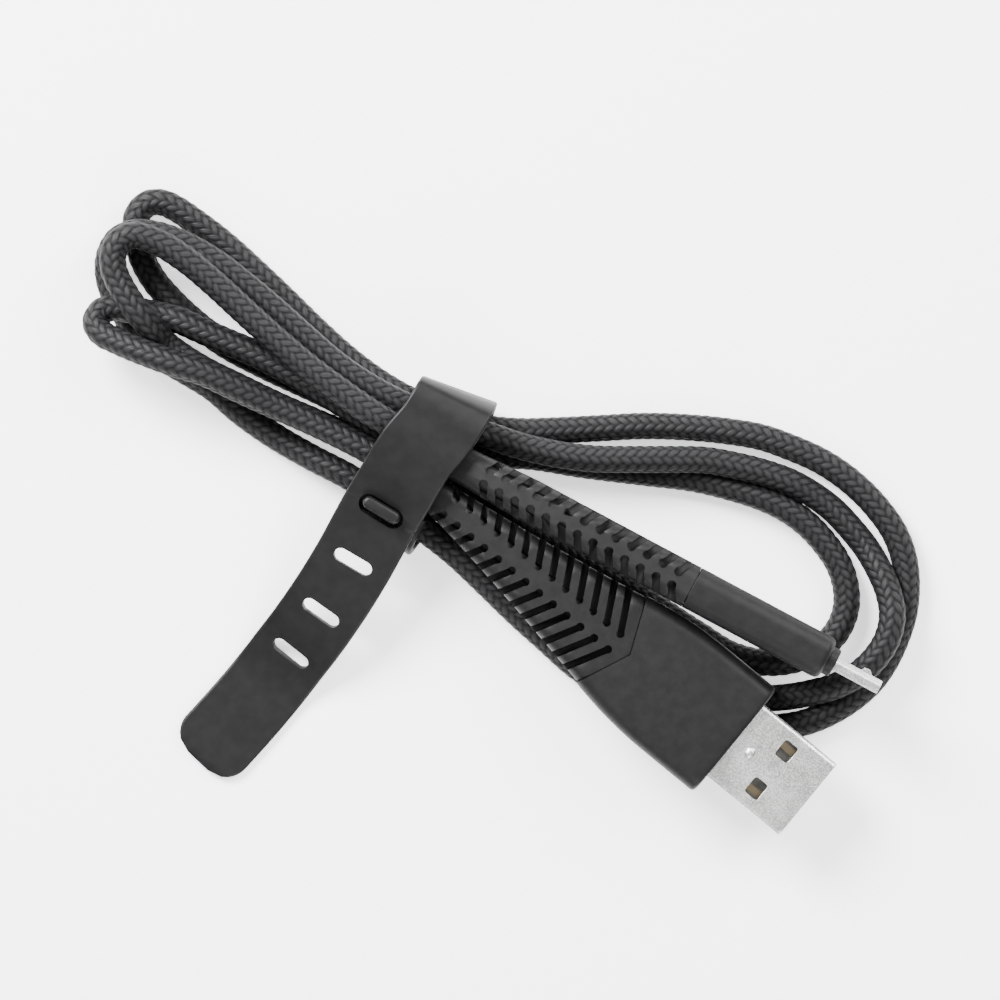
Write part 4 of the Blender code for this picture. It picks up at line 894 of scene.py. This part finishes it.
def make_tie():
    frames = tie_frames(TIE_WRAP_LINE + TIE_TOP_LINE)
    top_frames = frames[20 * TIE_STEPS:]
    low_join = 15 * TIE_STEPS  # half way up the far bend
    hole, centre, forward = slot_tool(top_frames, BUTTON_PLACE, *BUTTON_HOLE)
    join = min(range(len(frames)), key=lambda i: (frames[i][0] - centre).length)

    wrap = carve(strap(frames[: low_join + 1], round_start=True), [])
    finish_piece("tie_wrap_strap", wrap, SILICONE, "bundle", ["tie_wrap"])

    flap = carve(strap(frames[low_join : join + 1]), [hole], 0.16 * MM, 3, 45)
    made = finish_piece("tie_flap_strap", flap, SILICONE, None, ["tie_flap"])
    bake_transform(made)

    tools = [slot_tool(top_frames, BUTTON_PLACE, *BUTTON_HOLE)[0]]
    tools += [slot_tool(frames[join:], place, *TIE_SLOT)[0] for place in TIE_SLOTS]
    tail = carve(strap(frames[join:], round_end=True), tools, 0.16 * MM, 3, 45)
    made = finish_piece("tie_tail_strap", tail, SILICONE, None, ["tie_tail"])
    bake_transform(made)

    base = centre.z - BUTTON_FOOT
    sections = []
    for height, grow in ((-base, -0.1), (-0.2 * MM, -0.1), (1.0 * MM, -0.08), (1.5 * MM, 0.0), (1.95 * MM, 0.0),
                         (2.22 * MM, -0.1), (2.36 * MM, -0.27), (2.4 * MM, -0.5)):
        outline = stadium((5.4 + 2 * grow) * MM, (1.7 + 2 * grow) * MM, 8)
        sections.append([Vector((x, y, height)) for x, y in outline])
    bm = bmesh.new()
    loft(bm, sections)
    ahead = Vector((forward.x, forward.y, 0)).normalized()
    across = Vector((-ahead.y, ahead.x, 0))
    turn = Matrix((across, -ahead, Vector((0, 0, 1)))).transposed().to_4x4()
    place = Matrix.Translation(centre) @ turn
    piece("tie_button_bar", bm, SILICONE, "bundle", place=place, smooth_degrees=50)


def finish_cad_nodes():
    """Gives each CAD node that stays visible its own finish."""
    for name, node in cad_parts.items():
        if name == "usb_a_tongue":
            look = PALE
        elif name == "micro_tongue":
            look = BLACK
        elif "_contact_" in name:
            look = GOLD
        elif "_wire_" in name:
            look = WIRE_FINISH[name.split("_")[-1]]
        elif name.endswith("_ferrule"):
            look = NICKEL
        elif name.endswith("_cord_end"):
            look = BLACK
        else:
            continue
        node.data.materials.clear()
        node.data.materials.append(look)


# Stage

VIEW_WIDTH = 0.1304
VIEW_MIDDLE = (0.0091, -0.0039)


def area_light(name, place, size, power):
    """A round light that faces the middle of the cable."""
    data = bpy.data.lights.new(name, "AREA")
    data.shape = "DISK"
    data.size = size
    data.energy = power
    made = bpy.data.objects.new(name, data)
    made.location = place
    made.rotation_euler = (-Vector(place)).to_track_quat("-Z", "Y").to_euler()
    bpy.context.scene.collection.objects.link(made)


def make_surface_and_room():
    bm = bmesh.new()
    bmesh.ops.create_grid(bm, x_segments=1, y_segments=1, size=2.0)
    mesh = bpy.data.meshes.new("surface")
    bm.to_mesh(mesh)
    bm.free()
    mesh.materials.append(make_surface())
    floor = bpy.data.objects.new("surface", mesh)
    floor.location.z = -0.02 * MM
    bpy.context.scene.collection.objects.link(floor)

    world = bpy.data.worlds.new("soft_room")
    world.use_nodes = True
    nodes, links = world.node_tree.nodes, world.node_tree.links
    nodes["Background"].inputs["Color"].default_value = (1, 1, 1, 1)
    where, split, rise = (nodes.new("ShaderNode" + kind) for kind in ("TexCoord", "SeparateXYZ", "MapRange"))
    for name, value in (("From Min", 0.1), ("From Max", 0.9), ("To Min", 0.25), ("To Max", 0.95)):
        rise.inputs[name].default_value = value
    links.new(where.outputs["Generated"], split.inputs["Vector"])
    links.new(split.outputs["Z"], rise.inputs["Value"])
    links.new(rise.outputs["Result"], nodes["Background"].inputs["Strength"])
    bpy.context.scene.world = world
    area_light("key", (-0.34, 0.40, 0.46), 0.36, 24.0)
    area_light("side", (0.46, 0.34, 0.50), 0.50, 9.0)
    area_light("low", (0.05, -0.62, 0.50), 0.50, 6.0)


def make_camera():
    """Looks straight down from far off."""
    data = bpy.data.cameras.new("camera")
    data.lens = 200
    data.sensor_width = 36
    distance = VIEW_WIDTH * data.lens / data.sensor_width
    data.clip_start = 0.01
    camera = bpy.data.objects.new("camera", data)
    camera.location = (*VIEW_MIDDLE, distance + 0.006)
    bpy.context.scene.collection.objects.link(camera)
    bpy.context.scene.camera = camera


make_surface_and_room()
make_camera()
make_cord()
make_usb_a_body()
make_usb_a_shell()
make_micro_body()
make_micro_shell()
make_tie()
finish_cad_nodes()
